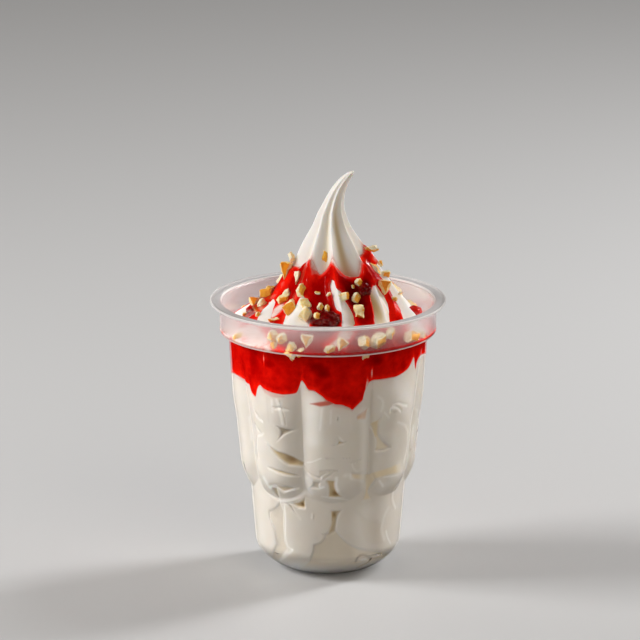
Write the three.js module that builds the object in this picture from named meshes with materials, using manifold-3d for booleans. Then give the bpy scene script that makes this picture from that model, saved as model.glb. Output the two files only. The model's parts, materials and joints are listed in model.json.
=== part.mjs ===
// A strawberry soft-serve sundae in a clear plastic cup: the cup, soft serve, sauce with nuts, and fruit.
// Millimetres, +Z up. The origin is the centre of the cup's foot, and the front of the sundae faces -Y.
// A bearing is an angle in degrees round the cup: 0 is the front, and it grows towards +X.
import * as THREE from 'three';
import { mergeVertices } from 'three/addons/utils/BufferGeometryUtils.js';
import Module from 'manifold-3d';

const wasm = await Module();
wasm.setup();

// ---------- Driving dimensions ----------

// Cup
const RIM_RADIUS = 46; // outside of the flange
const RIM_HEIGHT = 107; // top of the flange above the foot
const FLANGE_THICK = 0.9;
const COLLAR_RADIUS = 42.2;
const LEDGE_HEIGHT = 94.7; // where the collar stands on the body
const COLLAR_ROUND = 0.8; // rounding of the collar's lower edge
const EDGE_ROUND = 0.2; // the flange's edge
const WALL = 0.8;
const BAND_TOP_RADIUS = 38.9; // plain round band under the ledge
const BAND_FOOT_RADIUS = 37.2;
const BAND_FOOT = 67.3; // height where the band ends in a bevel
const LOBES_TOP = 63.6;
const LOBE_TOP_RADIUS = 36.3; // over the crown of a lobe
const LOBE_FOOT_RADIUS = 34.2;
const LOBES_FOOT = 43; // where the lobes start to turn in
const STEP_FOOT = 33.3; // where they have met the lower body
const LOWER_TOP_RADIUS = 30.3;
const CORNER_TOP = 12;
const CORNER_RADIUS = 28.5; // body radius where the rounded bottom corner starts
const CORNER_POWER = 1.3; // over 1: flatter under the cup than a quarter circle
const FOOT_RADIUS = 15.5;
const FOOT_RECESS = 0.8;
const FOOT_RECESS_RADIUS = 12.5;
const LOBES = 8;
const FIRST_CUSP = -16.9; // bearing of one of the creases between lobes
const CREASE_DEPTH = 1.1; // how far a crease lies inside the crown of a lobe
const LOBE_END_RISE = 5.5; // how much higher a lobe ends at its creases than at its crown

// Clearance between neighbouring pieces
const GAP = 0.3;

// Soft serve
const TIP_HEIGHT = 158.4;
// How wide the cone is at each height, over its ridges
const CONE_OUTLINE = [
  [96, 41.5], [98, 38.8], [100, 36.8], [103, 33], [105, 29.8], [108, 26.4], [115.3, 20.9], [123.3, 15.3],
  [130, 11.5], [137, 7.3], [140, 6.1], [145, 4.3], [150, 3.2], [154, 2.5], [156, 2.1], [157.5, 1.3],
];
// Where its middle stands, to the right of the cup's axis: the tip curls over
const CONE_MIDDLE = [
  [98, 0], [102, 1.5], [108, 3.4], [115.3, 3.1], [123.3, 2.3], [130, 1.6], [137, 1.25], [141, 1.3],
  [145, 2], [150, 3.6], [154, 5.8], [157.2, 8.4], [158.4, 9.9],
];
// Bearings of the ridges that the star nozzle left, near the tip and down at the wall
const RIDGES = [
  { top: -178, foot: -168 }, { top: -128, foot: -100 }, { top: -85, foot: -64 }, { top: -39, foot: -36 },
  { top: -6, foot: 9 }, { top: 44, foot: 38 }, { top: 88, foot: 72 }, { top: 135, foot: 120 },
];
const VALLEY_SHARE = 0.24; // depth of a valley over the cone's radius
const VALLEY_DEPTH = 4; // deepest valley
// Hollows between the soft serve and the wall: bearing and height of the middle, half sizes, depth
const HOLLOWS = [
  { at: -30, height: 15, wide: 9, tall: 12, deep: 2 },
  { at: 14, height: 13, wide: 26, tall: 6, deep: 2.4 },
  { at: -24, height: 49, wide: 14, tall: 4, deep: 2 },
  { at: 2, height: 37, wide: 7, tall: 4, deep: 2 },
  { at: 38, height: 56, wide: 7, tall: 8, deep: 2 },
  { at: 36, height: 39, wide: 16, tall: 4, deep: 1.8 },
  { at: 52, height: 20, wide: 10, tall: 9, deep: 1.8 },
  { at: 105, height: 46, wide: 14, tall: 5, deep: 2 },
  { at: 140, height: 25, wide: 13, tall: 9, deep: 2.2 },
  { at: 178, height: 50, wide: 12, tall: 6, deep: 2 },
  { at: -150, height: 30, wide: 12, tall: 9, deep: 2.2 },
  { at: -108, height: 48, wide: 13, tall: 5, deep: 2 },
  { at: -90, height: 20, wide: 12, tall: 8, deep: 2 },
];

// Sauce
const SAUCE_AT_WALL = 3; // its depth where it has run down inside the wall
const SAUCE_THICK = 1.3; // its coat on a ridge of the cone
const SAUCE_POOL = 97; // height of the sauce that has gathered at the wall above the ledge
const SHELF_SLOPE = 0.4; // half the height over which the soft serve steps in behind the sauce
// Its lower edge against the wall, once round: bearing and height
const SAUCE_FOOT = [
  [-90, 79], [-73, 77.5], [-58, 77.8], [-52, 73.5], [-45, 79], [-38, 77.6], [-28, 76.7], [-20, 78.4],
  [-16, 83], [-10, 79.6], [-2, 76], [6, 74.2], [16, 72], [22, 76.5], [28, 82.3], [45, 82.4], [58, 84],
  [65, 87], [70, 83.8], [90, 84.7], [105, 82], [118, 75.5], [127, 79.5], [150, 81], [164, 77], [176, 73],
  [188, 78.6], [206, 81], [224, 78.5], [239, 73.8], [248, 78.4], [270, 79],
];
const SAUCE_TOP_VALLEY = 119.5; // how high it reaches on the cone
const SAUCE_TOP_RIDGE = 126.5;
// Where the sauce has slid off: number of the ridge, top of the bare stretch, half its width in degrees
const BARE_STRETCHES = [
  { ridge: 0, top: 106, wide: 9 }, { ridge: 1, top: 103, wide: 9 }, { ridge: 2, top: 107, wide: 8 },
  { ridge: 3, top: 109, wide: 10 }, { ridge: 4, top: 118.5, wide: 7 }, { ridge: 5, top: 115, wide: 9 },
  { ridge: 6, top: 116, wide: 12 }, { ridge: 7, top: 110, wide: 8 },
];

// Chopped nuts: clusters of pieces round a bearing and a height
const NUT_CLUSTERS = [
  { at: -48, height: 112, spread: 22, rise: 6, count: 11 },
  { at: -4, height: 106, spread: 10, rise: 3, count: 5 },
  { at: 24, height: 111, spread: 9, rise: 6, count: 4 },
  { at: 66, height: 119, spread: 14, rise: 5, count: 5 },
  { at: 0, height: 99.5, spread: 55, rise: 1.5, count: 12 },
  { at: 100, height: 112, spread: 12, rise: 5, count: 3 },
  { at: 155, height: 106, spread: 32, rise: 7, count: 6 },
  { at: -150, height: 108, spread: 30, rise: 7, count: 6 },
];
const NUT_RADIUS = 2.1;
const NUT_SEED = 20;

// Fruit pieces that stick out of the sauce: where, and half sizes along, across and up
const FRUIT = [
  { name: 'strawberry_piece_1', at: -7, height: 105.5, size: [6.2, 3.4, 3.4] },
  { name: 'strawberry_piece_2', at: 26, height: 114.5, size: [2.8, 2.3, 2.7] },
  { name: 'strawberry_piece_3', at: 98, height: 100.5, size: [3.4, 2.8, 2.3] },
];

// ---------- Small helpers ----------

const rad = THREE.MathUtils.degToRad;
const { clamp, lerp, smoothstep } = THREE.MathUtils;

// A point at a bearing and radius round a middle that stands to the right of the cup's axis
const at = (bearing, radius, height, middle = 0) => [
  middle + radius * Math.sin(rad(bearing)), -radius * Math.cos(rad(bearing)), height,
];

// The angle from b to a, between -180 and 180 degrees
const turn = (a, b) => THREE.MathUtils.euclideanModulo(a - b + 180, 360) - 180;

// A hill of height 1 at 0 that has died away at 1
const hill = (x) => (Math.abs(x) < 1 ? Math.cos((x * Math.PI) / 2) ** 2 : 0);

// Reads a list of [place, value] pairs, rising in place, straight between its pairs
function readList(pairs, place) {
  const after = pairs.findIndex(([p]) => p >= place);
  if (after === 0) return pairs[0][1];
  if (after < 0) return pairs.at(-1)[1];
  const [[p0, v0], [p1, v1]] = pairs.slice(after - 1, after + 1);
  return lerp(v0, v1, (place - p0) / (p1 - p0));
}

function seededRandom(seed) {
  let state = seed;
  return () => {
    state = (state * 1664525 + 1013904223) % 4294967296;
    return state / 4294967296;
  };
}

const apart = (a, b) => Math.hypot(a[0] - b[0], a[1] - b[1], a[2] - b[2]);

// Skins rows of points, from a bottom pole to a top pole. A row of one point is a pole.
function skinRows(rows) {
  const positions = [];
  const put = (...points) => points.forEach((p) => positions.push(...p));
  for (let k = 0; k + 1 < rows.length; k++) {
    const [low, high] = [rows[k], rows[k + 1]];
    const count = Math.max(low.length, high.length);
    for (let j = 0; j < count; j++) {
      const next = (j + 1) % count;
      if (low.length === 1) put(low[0], high[next], high[j]);
      else if (high.length === 1) put(low[j], low[next], high[0]);
      else if (apart(low[j], high[next]) < apart(low[next], high[j])) {
        put(low[j], low[next], high[next], low[j], high[next], high[j]);
      } else {
        put(low[j], low[next], high[j], low[next], high[next], high[j]);
      }
    }
  }
  return new THREE.BufferGeometry().setAttribute('position', new THREE.Float32BufferAttribute(positions, 3));
}

function toSolid(geometry) {
  const bare = geometry.index ? geometry.toNonIndexed() : geometry.clone();
  bare.deleteAttribute('normal');
  bare.deleteAttribute('uv');
  const merged = mergeVertices(bare, 1e-4);
  return new wasm.Manifold(new wasm.Mesh({
    numProp: 3,
    vertProperties: merged.attributes.position.array,
    triVerts: new Uint32Array(merged.index.array),
  }));
}

function toGeometry(solid) {
  const { vertProperties, triVerts } = solid.getMesh();
  const geometry = new THREE.BufferGeometry();
  geometry.setAttribute('position', new THREE.BufferAttribute(new Float32Array(vertProperties), 3));
  geometry.setIndex(new THREE.BufferAttribute(new Uint32Array(triVerts), 1));
  geometry.computeVertexNormals();
  return geometry;
}

// Drops the scraps that a cut leaves loose
const largestBody = (solid) => solid.decompose().reduce((a, b) => (b.volume() > a.volume() ? b : a));

// ---------- The cup ----------

const COLUMNS = 48; // points round, a whole number of them to a lobe
const COLUMN_ANGLE = 360 / COLUMNS;
const LOBE_ANGLE = 360 / LOBES;
const wallBearings = Array.from({ length: COLUMNS }, (_, j) => FIRST_CUSP + j * COLUMN_ANGLE);

// Where a bearing lies across its lobe: 0 on the crown, 1 at a crease
function acrossLobe(bearing) {
  const share = THREE.MathUtils.euclideanModulo(bearing - FIRST_CUSP, LOBE_ANGLE) / LOBE_ANGLE;
  return Math.abs(2 * share - 1);
}

// A lobe's rounded end lies higher at its creases
const endRise = (bearing) => LOBE_END_RISE * acrossLobe(bearing) ** 3;

// Outside of the body, between the bottom corner and the ledge
function bodyRadius(bearing, height) {
  const lower = lerp(CORNER_RADIUS, LOWER_TOP_RADIUS, (height - CORNER_TOP) / (STEP_FOOT - CORNER_TOP));
  const crown = lerp(LOBE_FOOT_RADIUS, LOBE_TOP_RADIUS, (height - LOBES_FOOT) / (LOBES_TOP - LOBES_FOOT));
  const band = lerp(BAND_FOOT_RADIUS, BAND_TOP_RADIUS, (height - BAND_FOOT) / (LEDGE_HEIGHT - BAND_FOOT));
  const lobe = crown - CREASE_DEPTH * acrossLobe(bearing) ** 2;
  const rise = endRise(bearing);
  const stepShare = clamp((height - STEP_FOOT - rise) / (LOBES_FOOT - STEP_FOOT), 0, 1);
  const step = lerp(lower, lobe, Math.sin((stepShare * Math.PI) / 2));
  return lerp(step, band, smoothstep(height, LOBES_TOP, BAND_FOOT));
}

// The rounded bottom corner: share 0 is the foot, 1 the side
function cornerPoint(share, footRadius, footHeight, inset) {
  const angle = (share * Math.PI) / 2;
  return [
    lerp(footRadius, CORNER_RADIUS - inset, Math.sin(angle) ** CORNER_POWER),
    lerp(CORNER_TOP, footHeight, Math.cos(angle) ** CORNER_POWER),
  ];
}

const CORNER_SHARES = [0.25, 0.5, 0.75, 1];
const STEP_SHARES = [0, 0.3, 0.6, 1];

// Heights of the body's rows at a bearing, from above the corner to where the band starts
function bodyHeights(bearing) {
  const rise = endRise(bearing);
  return [
    (CORNER_TOP + STEP_FOOT) / 2,
    ...STEP_SHARES.map((s) => lerp(STEP_FOOT, LOBES_FOOT, s) + rise),
    (LOBES_FOOT + LOBE_END_RISE + LOBES_TOP) / 2, LOBES_TOP, BAND_FOOT,
  ];
}

const LEDGE_INSIDE = LEDGE_HEIGHT + WALL; // height of the ledge's upper side
const ring = (radius, height) => wallBearings.map((b) => at(b, radius, height));

// Rows of the wall's surface, an inset inside the cup's outside, from its corner to the foot of the band
function wallRows(inset, footHeight) {
  const footRadius = FOOT_RADIUS - inset / 2;
  const corner = CORNER_SHARES.map((share) => ring(...cornerPoint(share, footRadius, footHeight, inset)));
  const count = bodyHeights(0).length;
  const body = Array.from({ length: count }, (_, k) => wallBearings.map((b) => {
    const height = bodyHeights(b)[k];
    return at(b, bodyRadius(b, height) - inset, height);
  }));
  return [...corner, ...body];
}

function makeCup() {
  const floor = FOOT_RECESS + WALL;
  const outside = [
    [[0, 0, FOOT_RECESS]],
    ring(FOOT_RECESS_RADIUS, FOOT_RECESS), ring(FOOT_RECESS_RADIUS + FOOT_RECESS, 0), ring(FOOT_RADIUS, 0),
    ...wallRows(0, 0),
    ring(BAND_TOP_RADIUS, LEDGE_HEIGHT), ring(COLLAR_RADIUS - COLLAR_ROUND, LEDGE_HEIGHT),
    ring(COLLAR_RADIUS, LEDGE_HEIGHT + COLLAR_ROUND), ring(COLLAR_RADIUS, RIM_HEIGHT - FLANGE_THICK),
    ring(RIM_RADIUS - EDGE_ROUND, RIM_HEIGHT - FLANGE_THICK), ring(RIM_RADIUS, RIM_HEIGHT - FLANGE_THICK / 2),
    ring(RIM_RADIUS - EDGE_ROUND, RIM_HEIGHT),
  ];
  const inside = [
    [[0, 0, floor]], ring(FOOT_RADIUS - WALL / 2, floor),
    ...wallRows(WALL, floor),
    ring(BAND_TOP_RADIUS - WALL, LEDGE_INSIDE), ring(COLLAR_RADIUS - WALL, LEDGE_INSIDE + EDGE_ROUND),
    ring(COLLAR_RADIUS - WALL, RIM_HEIGHT),
  ];
  return toSolid(skinRows([...outside, ...inside.reverse()]));
}

// ---------- Soft serve and sauce ----------

// How far inside the cup the contents may reach
function roomRadius(bearing, height) {
  if (height > LEDGE_INSIDE + 2 * GAP) return COLLAR_RADIUS - WALL - GAP;
  return bodyRadius(bearing, Math.max(height, CORNER_TOP)) - WALL - GAP;
}

const coneMiddle = (height) => readList(CONE_MIDDLE, height);

// Bearing of a ridge at a height: it twists on its way down
const ridgeBearing = (ridge, height) => lerp(ridge.foot, ridge.top, smoothstep(height, LEDGE_HEIGHT, 122));

// 0 on a ridge, 1 in the middle of a valley
function valleyShare(bearing, height) {
  const found = RIDGES.map((r) => turn(bearing, ridgeBearing(r, height)));
  const after = Math.min(...found.filter((a) => a >= 0));
  const before = Math.min(...found.filter((a) => a < 0).map((a) => -a));
  return Math.sin((Math.PI * after) / (after + before));
}

// Height of the sauce's lower edge against the wall
const sauceFoot = (bearing) => readList(SAUCE_FOOT, THREE.MathUtils.euclideanModulo(bearing + 90, 360) - 90);

const hollowAt = (bearing, height) => Math.max(...HOLLOWS.map(
  (h) => h.deep * hill(Math.hypot(turn(bearing, h.at) / h.wide, (height - h.height) / h.tall) * 0.8),
));

// Outside of the soft serve
function serveRadius(bearing, height) {
  const cone = readList(CONE_OUTLINE, height);
  const valley = Math.min(VALLEY_SHARE * cone, VALLEY_DEPTH) * valleyShare(bearing, height);
  const atWall = height > sauceFoot(bearing) ? SAUCE_AT_WALL : hollowAt(bearing, height);
  const room = roomRadius(bearing, height) - atWall;
  return height < LEDGE_HEIGHT ? room : Math.min(room, cone - valley);
}

// How thick the sauce lies on the cone, measured level. Below 0 there is none.
function sauceCoat(bearing, height) {
  const valley = valleyShare(bearing, height);
  const top = lerp(SAUCE_TOP_RIDGE, SAUCE_TOP_VALLEY, valley);
  const bare = Math.max(...BARE_STRETCHES.map((b) => {
    const off = turn(bearing, ridgeBearing(RIDGES[b.ridge], height)) / b.wide;
    return hill(off / 1.5) * smoothstep(b.top - height, -2, 2);
  }));
  const under = smoothstep(top - height, -0.5, 2.5);
  return (SAUCE_THICK * (1 + 0.9 * valley) + 0.5) * under * (1 - 1.9 * bare) - 0.5;
}

// Outside of the soft serve and sauce together
function filledRadius(bearing, height) {
  const room = roomRadius(bearing, height);
  if (height < SAUCE_POOL) return room;
  return Math.min(room, serveRadius(bearing, height) + sauceCoat(bearing, height));
}

// The columns stand even at the wall, and follow the ridges on the cone
function columnBearing(j, height) {
  const ridges = RIDGES.map((ridge) => ({
    column: Math.round((ridge.foot - FIRST_CUSP) / COLUMN_ANGLE), bearing: ridgeBearing(ridge, height),
  }));
  ridges.push({ column: ridges[0].column + COLUMNS, bearing: ridges[0].bearing + 360 });
  const column = ridges[0].column + j;
  const after = ridges.findIndex((r) => r.column > column);
  const [from, to] = [ridges[after - 1], ridges[after]];
  const onCone = lerp(from.bearing, to.bearing, (column - from.column) / (to.column - from.column));
  return lerp(FIRST_CUSP + column * COLUMN_ANGLE, onCone, smoothstep(height, BAND_FOOT, LEDGE_HEIGHT));
}

// Heights of the rows above the sauce's lower edge: close together at the ledge and at the tip
const CONE_HEIGHTS = [
  LEDGE_HEIGHT - 3, LEDGE_INSIDE + GAP, LEDGE_INSIDE + 3 * GAP, 97.8, 99.8, 102.4, 105.2, 108.4, 112, 115.5,
  118.5, 121.5, 124.5, 128, 132, 136.5, 141, 145.5, 150, 153.5, 156, 157.6,
];

// A solid with radiusAt(bearing, height) for its outside, grown by an allowance. Two of its rows follow the
// lower edge of the sauce, where the outside may step in or out.
function contentsSolid(radiusAt, grown) {
  const floor = FOOT_RECESS + WALL + GAP - grown;
  const corner = CORNER_SHARES.slice(0, 3).map((share) => {
    const [radius, height] = cornerPoint(share, FOOT_RADIUS - WALL / 2 - GAP, floor, WALL + GAP);
    return Array.from({ length: COLUMNS }, (_, j) => at(columnBearing(j, 0), radius + grown, height));
  });
  const heightOf = [
    ...bodyHeights(0).map((_, k) => (bearing) => bodyHeights(bearing)[k]),
    (bearing) => sauceFoot(bearing) - SHELF_SLOPE + grown,
    (bearing) => sauceFoot(bearing) + SHELF_SLOPE + grown,
    ...CONE_HEIGHTS.map((height) => () => height),
  ];
  const rows = heightOf.map((own) => Array.from({ length: COLUMNS }, (_, j) => {
    const bearing = columnBearing(j, own(0));
    const height = own(bearing);
    return at(bearing, radiusAt(bearing, height) + grown, height, coneMiddle(height));
  }));
  const tip = at(0, 0, TIP_HEIGHT + grown, coneMiddle(TIP_HEIGHT));
  return toSolid(skinRows([[[0, 0, floor]], ...corner, ...rows, [tip]]));
}

// A chopped nut: a chip with flat faces, uneven in every direction
function nutSolid({ seed, place }, grown) {
  const random = seededRandom(seed);
  const between = (low, high) => lerp(low, high, random());
  const chip = new THREE.IcosahedronGeometry(NUT_RADIUS + grown, 0);
  chip.scale(between(0.75, 1.25), between(0.6, 1), between(0.5, 0.8));
  chip.rotateX(between(0, Math.PI)).rotateY(between(0, Math.PI)).rotateZ(between(0, Math.PI));
  chip.translate(...place);
  return toSolid(chip);
}

// A lump of fruit: a rounded block with a wavy surface
function fruitSolid({ at: bearing, height, size }, grown) {
  const lump = new THREE.IcosahedronGeometry(1, 1);
  const p = lump.attributes.position;
  for (let i = 0; i < p.count; i++) {
    const [x, y, z] = [p.getX(i), p.getY(i), p.getZ(i)];
    const wave = 1 + 0.07 * Math.sin(5 * x + 2 * z) + 0.06 * Math.cos(6 * y - 3 * x);
    p.setXYZ(i, x * (size[0] * wave + grown), y * (size[1] * wave + grown), z * (size[2] * wave + grown));
  }
  lump.rotateZ(rad(bearing));
  lump.translate(...at(bearing, filledRadius(bearing, height), height, coneMiddle(height)));
  return toSolid(lump);
}

// Where the nuts lie, and whether on the sauce or on bare soft serve. None lies across an edge of the sauce
// or by the fruit.
function scatterNuts() {
  const random = seededRandom(NUT_SEED);
  const around = (middle, spread) => middle + spread * (2 * random() - 1);
  const nuts = [];
  for (const cluster of NUT_CLUSTERS) {
    for (let i = 0; i < cluster.count; i++) {
      const bearing = around(cluster.at, cluster.spread);
      const height = around(cluster.height, cluster.rise);
      const seed = Math.floor(1e6 * random());
      const coat = sauceCoat(bearing, height);
      const atEdge = coat > -0.2 && coat < 0.6;
      const byFruit = FRUIT.some(
        (f) => Math.abs(turn(f.at, bearing)) < 14 && Math.abs(f.height - height) < 6,
      );
      if (atEdge || byFruit) continue;
      const radius = Math.max(filledRadius(bearing, height), serveRadius(bearing, height)) + NUT_RADIUS / 7;
      nuts.push({ seed, place: at(bearing, radius, height, coneMiddle(height)), onSauce: coat > 0 });
    }
  }
  return nuts;
}

// The space over the contents, inside the collar
function spaceOverLedge() {
  const radius = COLLAR_RADIUS - WALL - GAP;
  const tall = TIP_HEIGHT - LEDGE_HEIGHT;
  const space = new THREE.CylinderGeometry(radius, radius, tall, 2 * COLUMNS);
  space.rotateX(Math.PI / 2).translate(0, 0, LEDGE_INSIDE + 2 * GAP + tall / 2);
  return toSolid(space);
}

function makeContents() {
  const space = spaceOverLedge();
  const nuts = scatterNuts();
  const roomForServe = contentsSolid(serveRadius, GAP);
  let serve = contentsSolid(serveRadius, 0);
  let sauce = contentsSolid(filledRadius, 0);
  for (const nut of nuts.filter((n) => n.onSauce)) {
    sauce = sauce.add(nutSolid(nut, 0).intersect(space));
  }
  sauce = sauce.subtract(roomForServe);
  for (const nut of nuts.filter((n) => !n.onSauce)) {
    serve = serve.add(nutSolid(nut, 0).intersect(space));
    sauce = sauce.subtract(nutSolid(nut, GAP));
  }
  const fruit = FRUIT.map((piece) => {
    sauce = sauce.subtract(fruitSolid(piece, GAP));
    return [piece.name, largestBody(fruitSolid(piece, 0).intersect(space).subtract(roomForServe))];
  });
  return { serve, sauce: largestBody(sauce), fruit };
}

// ---------- Materials and the finished group ----------

const clearPlastic = new THREE.MeshStandardMaterial({
  color: 0xe6e9ec, roughness: 0.12, metalness: 0, transparent: true, opacity: 0.35,
});
const softServe = new THREE.MeshStandardMaterial({ color: 0xf0e8dc, roughness: 0.5, metalness: 0 });
const strawberrySauce = new THREE.MeshStandardMaterial({ color: 0xc40d06, roughness: 0.12, metalness: 0 });
const strawberryFruit = new THREE.MeshStandardMaterial({ color: 0x7e0705, roughness: 0.3, metalness: 0 });

const sundae = new THREE.Group();

function addPiece(name, solid, material) {
  const mesh = new THREE.Mesh(toGeometry(solid), material);
  mesh.name = name;
  sundae.add(mesh);
}

const contents = makeContents();
addPiece('cup', makeCup(), clearPlastic);
addPiece('soft_serve', contents.serve, softServe);
addPiece('strawberry_sauce', contents.sauce, strawberrySauce);
contents.fruit.forEach(([name, solid]) => addPiece(name, solid, strawberryFruit));

export default sundae;
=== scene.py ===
# %% [markdown]
# # A strawberry sundae in a clear cup
# The sundae is soft serve drawn up into a curled peak, in a thin clear cup with eight lobes. Strawberry sauce
# with fruit has run down the peak and inside the cup, and chopped nuts lie on top.
# The solids of the cup, soft serve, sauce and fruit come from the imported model. They give sizes and places,
# and each of them is replaced here by a finer piece of the same form.
# Lengths are in millimetres until a mesh is made. A bearing is an angle round the cup in degrees: 0 is the
# front, and it grows towards the right.

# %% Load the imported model
import json
import math

import bmesh
import bpy
import numpy as np
from mathutils import Matrix, Vector, noise
from mathutils.bvhtree import BVHTree

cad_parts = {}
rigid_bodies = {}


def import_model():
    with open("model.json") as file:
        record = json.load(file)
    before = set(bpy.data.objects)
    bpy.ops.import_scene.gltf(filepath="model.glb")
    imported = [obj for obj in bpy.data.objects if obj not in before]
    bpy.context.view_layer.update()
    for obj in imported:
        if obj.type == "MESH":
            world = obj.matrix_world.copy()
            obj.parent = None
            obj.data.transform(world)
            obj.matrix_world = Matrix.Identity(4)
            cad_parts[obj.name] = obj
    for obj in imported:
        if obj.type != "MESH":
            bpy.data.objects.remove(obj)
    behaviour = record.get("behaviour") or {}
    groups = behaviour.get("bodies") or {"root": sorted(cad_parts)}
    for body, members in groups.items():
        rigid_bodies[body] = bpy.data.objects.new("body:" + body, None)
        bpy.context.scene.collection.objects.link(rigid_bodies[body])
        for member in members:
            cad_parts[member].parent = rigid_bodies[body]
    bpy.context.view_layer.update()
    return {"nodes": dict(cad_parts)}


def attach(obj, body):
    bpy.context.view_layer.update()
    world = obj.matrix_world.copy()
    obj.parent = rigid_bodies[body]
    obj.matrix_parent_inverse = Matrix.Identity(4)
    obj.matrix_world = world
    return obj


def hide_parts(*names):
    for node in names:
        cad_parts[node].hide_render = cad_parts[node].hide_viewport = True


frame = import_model()
MM = 0.001

# %% [markdown]
# ## Camera
# A long lens from three metres away keeps the cup's sides almost parallel. The camera looks down a little,
# so that the rim shows as an ellipse. It comes first because small things are later placed by where they
# stand in its view, given as pixels across and down.

# %% Camera
VIEW = 640  # pixels across and down
PIXEL = 0.3898  # millimetres at the cup's axis
CUP_AXIS_ACROSS = 328  # where the axis stands in the view
CAMERA_AWAY = 3000
CAMERA_ELEVATION = 14.9
LOOK_AT_HEIGHT = 98.4
SENSOR = 36
SEES_TO = 50  # metres

target = Vector(((VIEW / 2 - CUP_AXIS_ACROSS) * PIXEL, 0, LOOK_AT_HEIGHT)) * MM
tilt = math.radians(CAMERA_ELEVATION)
away = Vector((0, -math.cos(tilt), math.sin(tilt)))
camera = bpy.data.objects.new("camera", bpy.data.cameras.new("camera"))
bpy.context.scene.collection.objects.link(camera)
camera.location = target + away * CAMERA_AWAY * MM
camera.rotation_euler = (-away).to_track_quat("-Z", "Y").to_euler()
camera.data.sensor_width = SENSOR
camera.data.lens = SENSOR * CAMERA_AWAY / (VIEW * PIXEL)
camera.data.clip_end = SEES_TO
bpy.context.scene.camera = camera
bpy.context.view_layer.update()
print(f"lens {camera.data.lens:.0f} mm")


def sight_line(across, down):
    """Start and direction of the ray through a place in the view."""
    half = SENSOR / 2 / camera.data.lens
    x = (2 * across / VIEW - 1) * half
    y = (1 - 2 * down / VIEW) * half
    direction = camera.matrix_world.to_3x3() @ Vector((x, y, -1))
    return camera.location.copy(), direction.normalized()


# %% [markdown]
# ## Light
# Food like this is lit by one large soft lamp from the left and above. A weaker lamp behind the right side
# draws a thin bright line down that edge, and small lamps give the sauce and the plastic their glints. An
# image of a room could light it too, but single lamps can be put where each glint is wanted.

# %% Lamps and tone
KEY_WHITE = (1, 0.99, 0.975)
FILL_WHITE = (1, 0.91, 0.79)
ROOM_WHITE = (1, 0.93, 0.84, 1)
ROOM_STRENGTH = 0.16


def add_lamp(name, bearing, elevation, distance, width, height, power, colour=(1, 1, 1), glints=False):
    """An area lamp that faces the sundae, in metres. Only a lamp with glints shows in glossy surfaces."""
    lamp = bpy.data.objects.new(name, bpy.data.lights.new(name, "AREA"))
    bpy.context.scene.collection.objects.link(lamp)
    turn, rise = math.radians(bearing), math.radians(elevation)
    out = Vector((math.sin(turn) * math.cos(rise), -math.cos(turn) * math.cos(rise), math.sin(rise)))
    lamp.location = target + out * distance
    lamp.rotation_euler = (-out).to_track_quat("-Z", "Y").to_euler()
    lamp.data.shape = "RECTANGLE"
    lamp.data.size = width
    lamp.data.size_y = height
    lamp.data.energy = power
    lamp.data.color = colour
    lamp.visible_glossy = glints


add_lamp("key_lamp", -88, 36, 1.3, 0.5, 0.5, 13.6, KEY_WHITE)
add_lamp("low_lamp", -72, 0, 1.3, 0.4, 0.14, 2.2, KEY_WHITE)
add_lamp("front_fill", 34, 32, 1.6, 1.0, 0.8, 4.8, FILL_WHITE)
add_lamp("edge_lamp", 122, 34, 1.1, 0.2, 0.7, 8)
add_lamp("edge_glint", 118, 30, 1.1, 0.03, 0.5, 0.8, glints=True)
add_lamp("right_glint", 125, 18, 1.1, 0.04, 0.06, 1.0, glints=True)
add_lamp("small_glint", -40, 52, 1.2, 0.02, 0.02, 0.12, glints=True)
for side in (-1, 1):  # two cards low behind the cup show as pale lines in its clear edges
    add_lamp("low_card", side * 163, -22, 0.9, 0.24, 0.36, 0.17, glints=True)

world = bpy.data.worlds.new("studio")
bpy.context.scene.world = world
world.use_nodes = True
room = world.node_tree.nodes["Background"].inputs
room["Color"].default_value = ROOM_WHITE
room["Strength"].default_value = ROOM_STRENGTH
world.cycles_visibility.glossy = False
bpy.context.scene.view_settings.view_transform = "Standard"
print(len(bpy.data.lights), "lamps")

# %% [markdown]
# ## Materials
# A finish is a small tree of shader nodes. It could be put together by hand in the shader editor. Here a
# helper makes and joins the nodes, so that each finish below reads as a list of what it is made of.

# %% Shader helpers
MIX_A, MIX_B, MIX_RESULT = 6, 7, 2  # where a Mix node has its sockets for colours


def rgb(red, green, blue):
    return (red, green, blue, 1)


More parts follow.
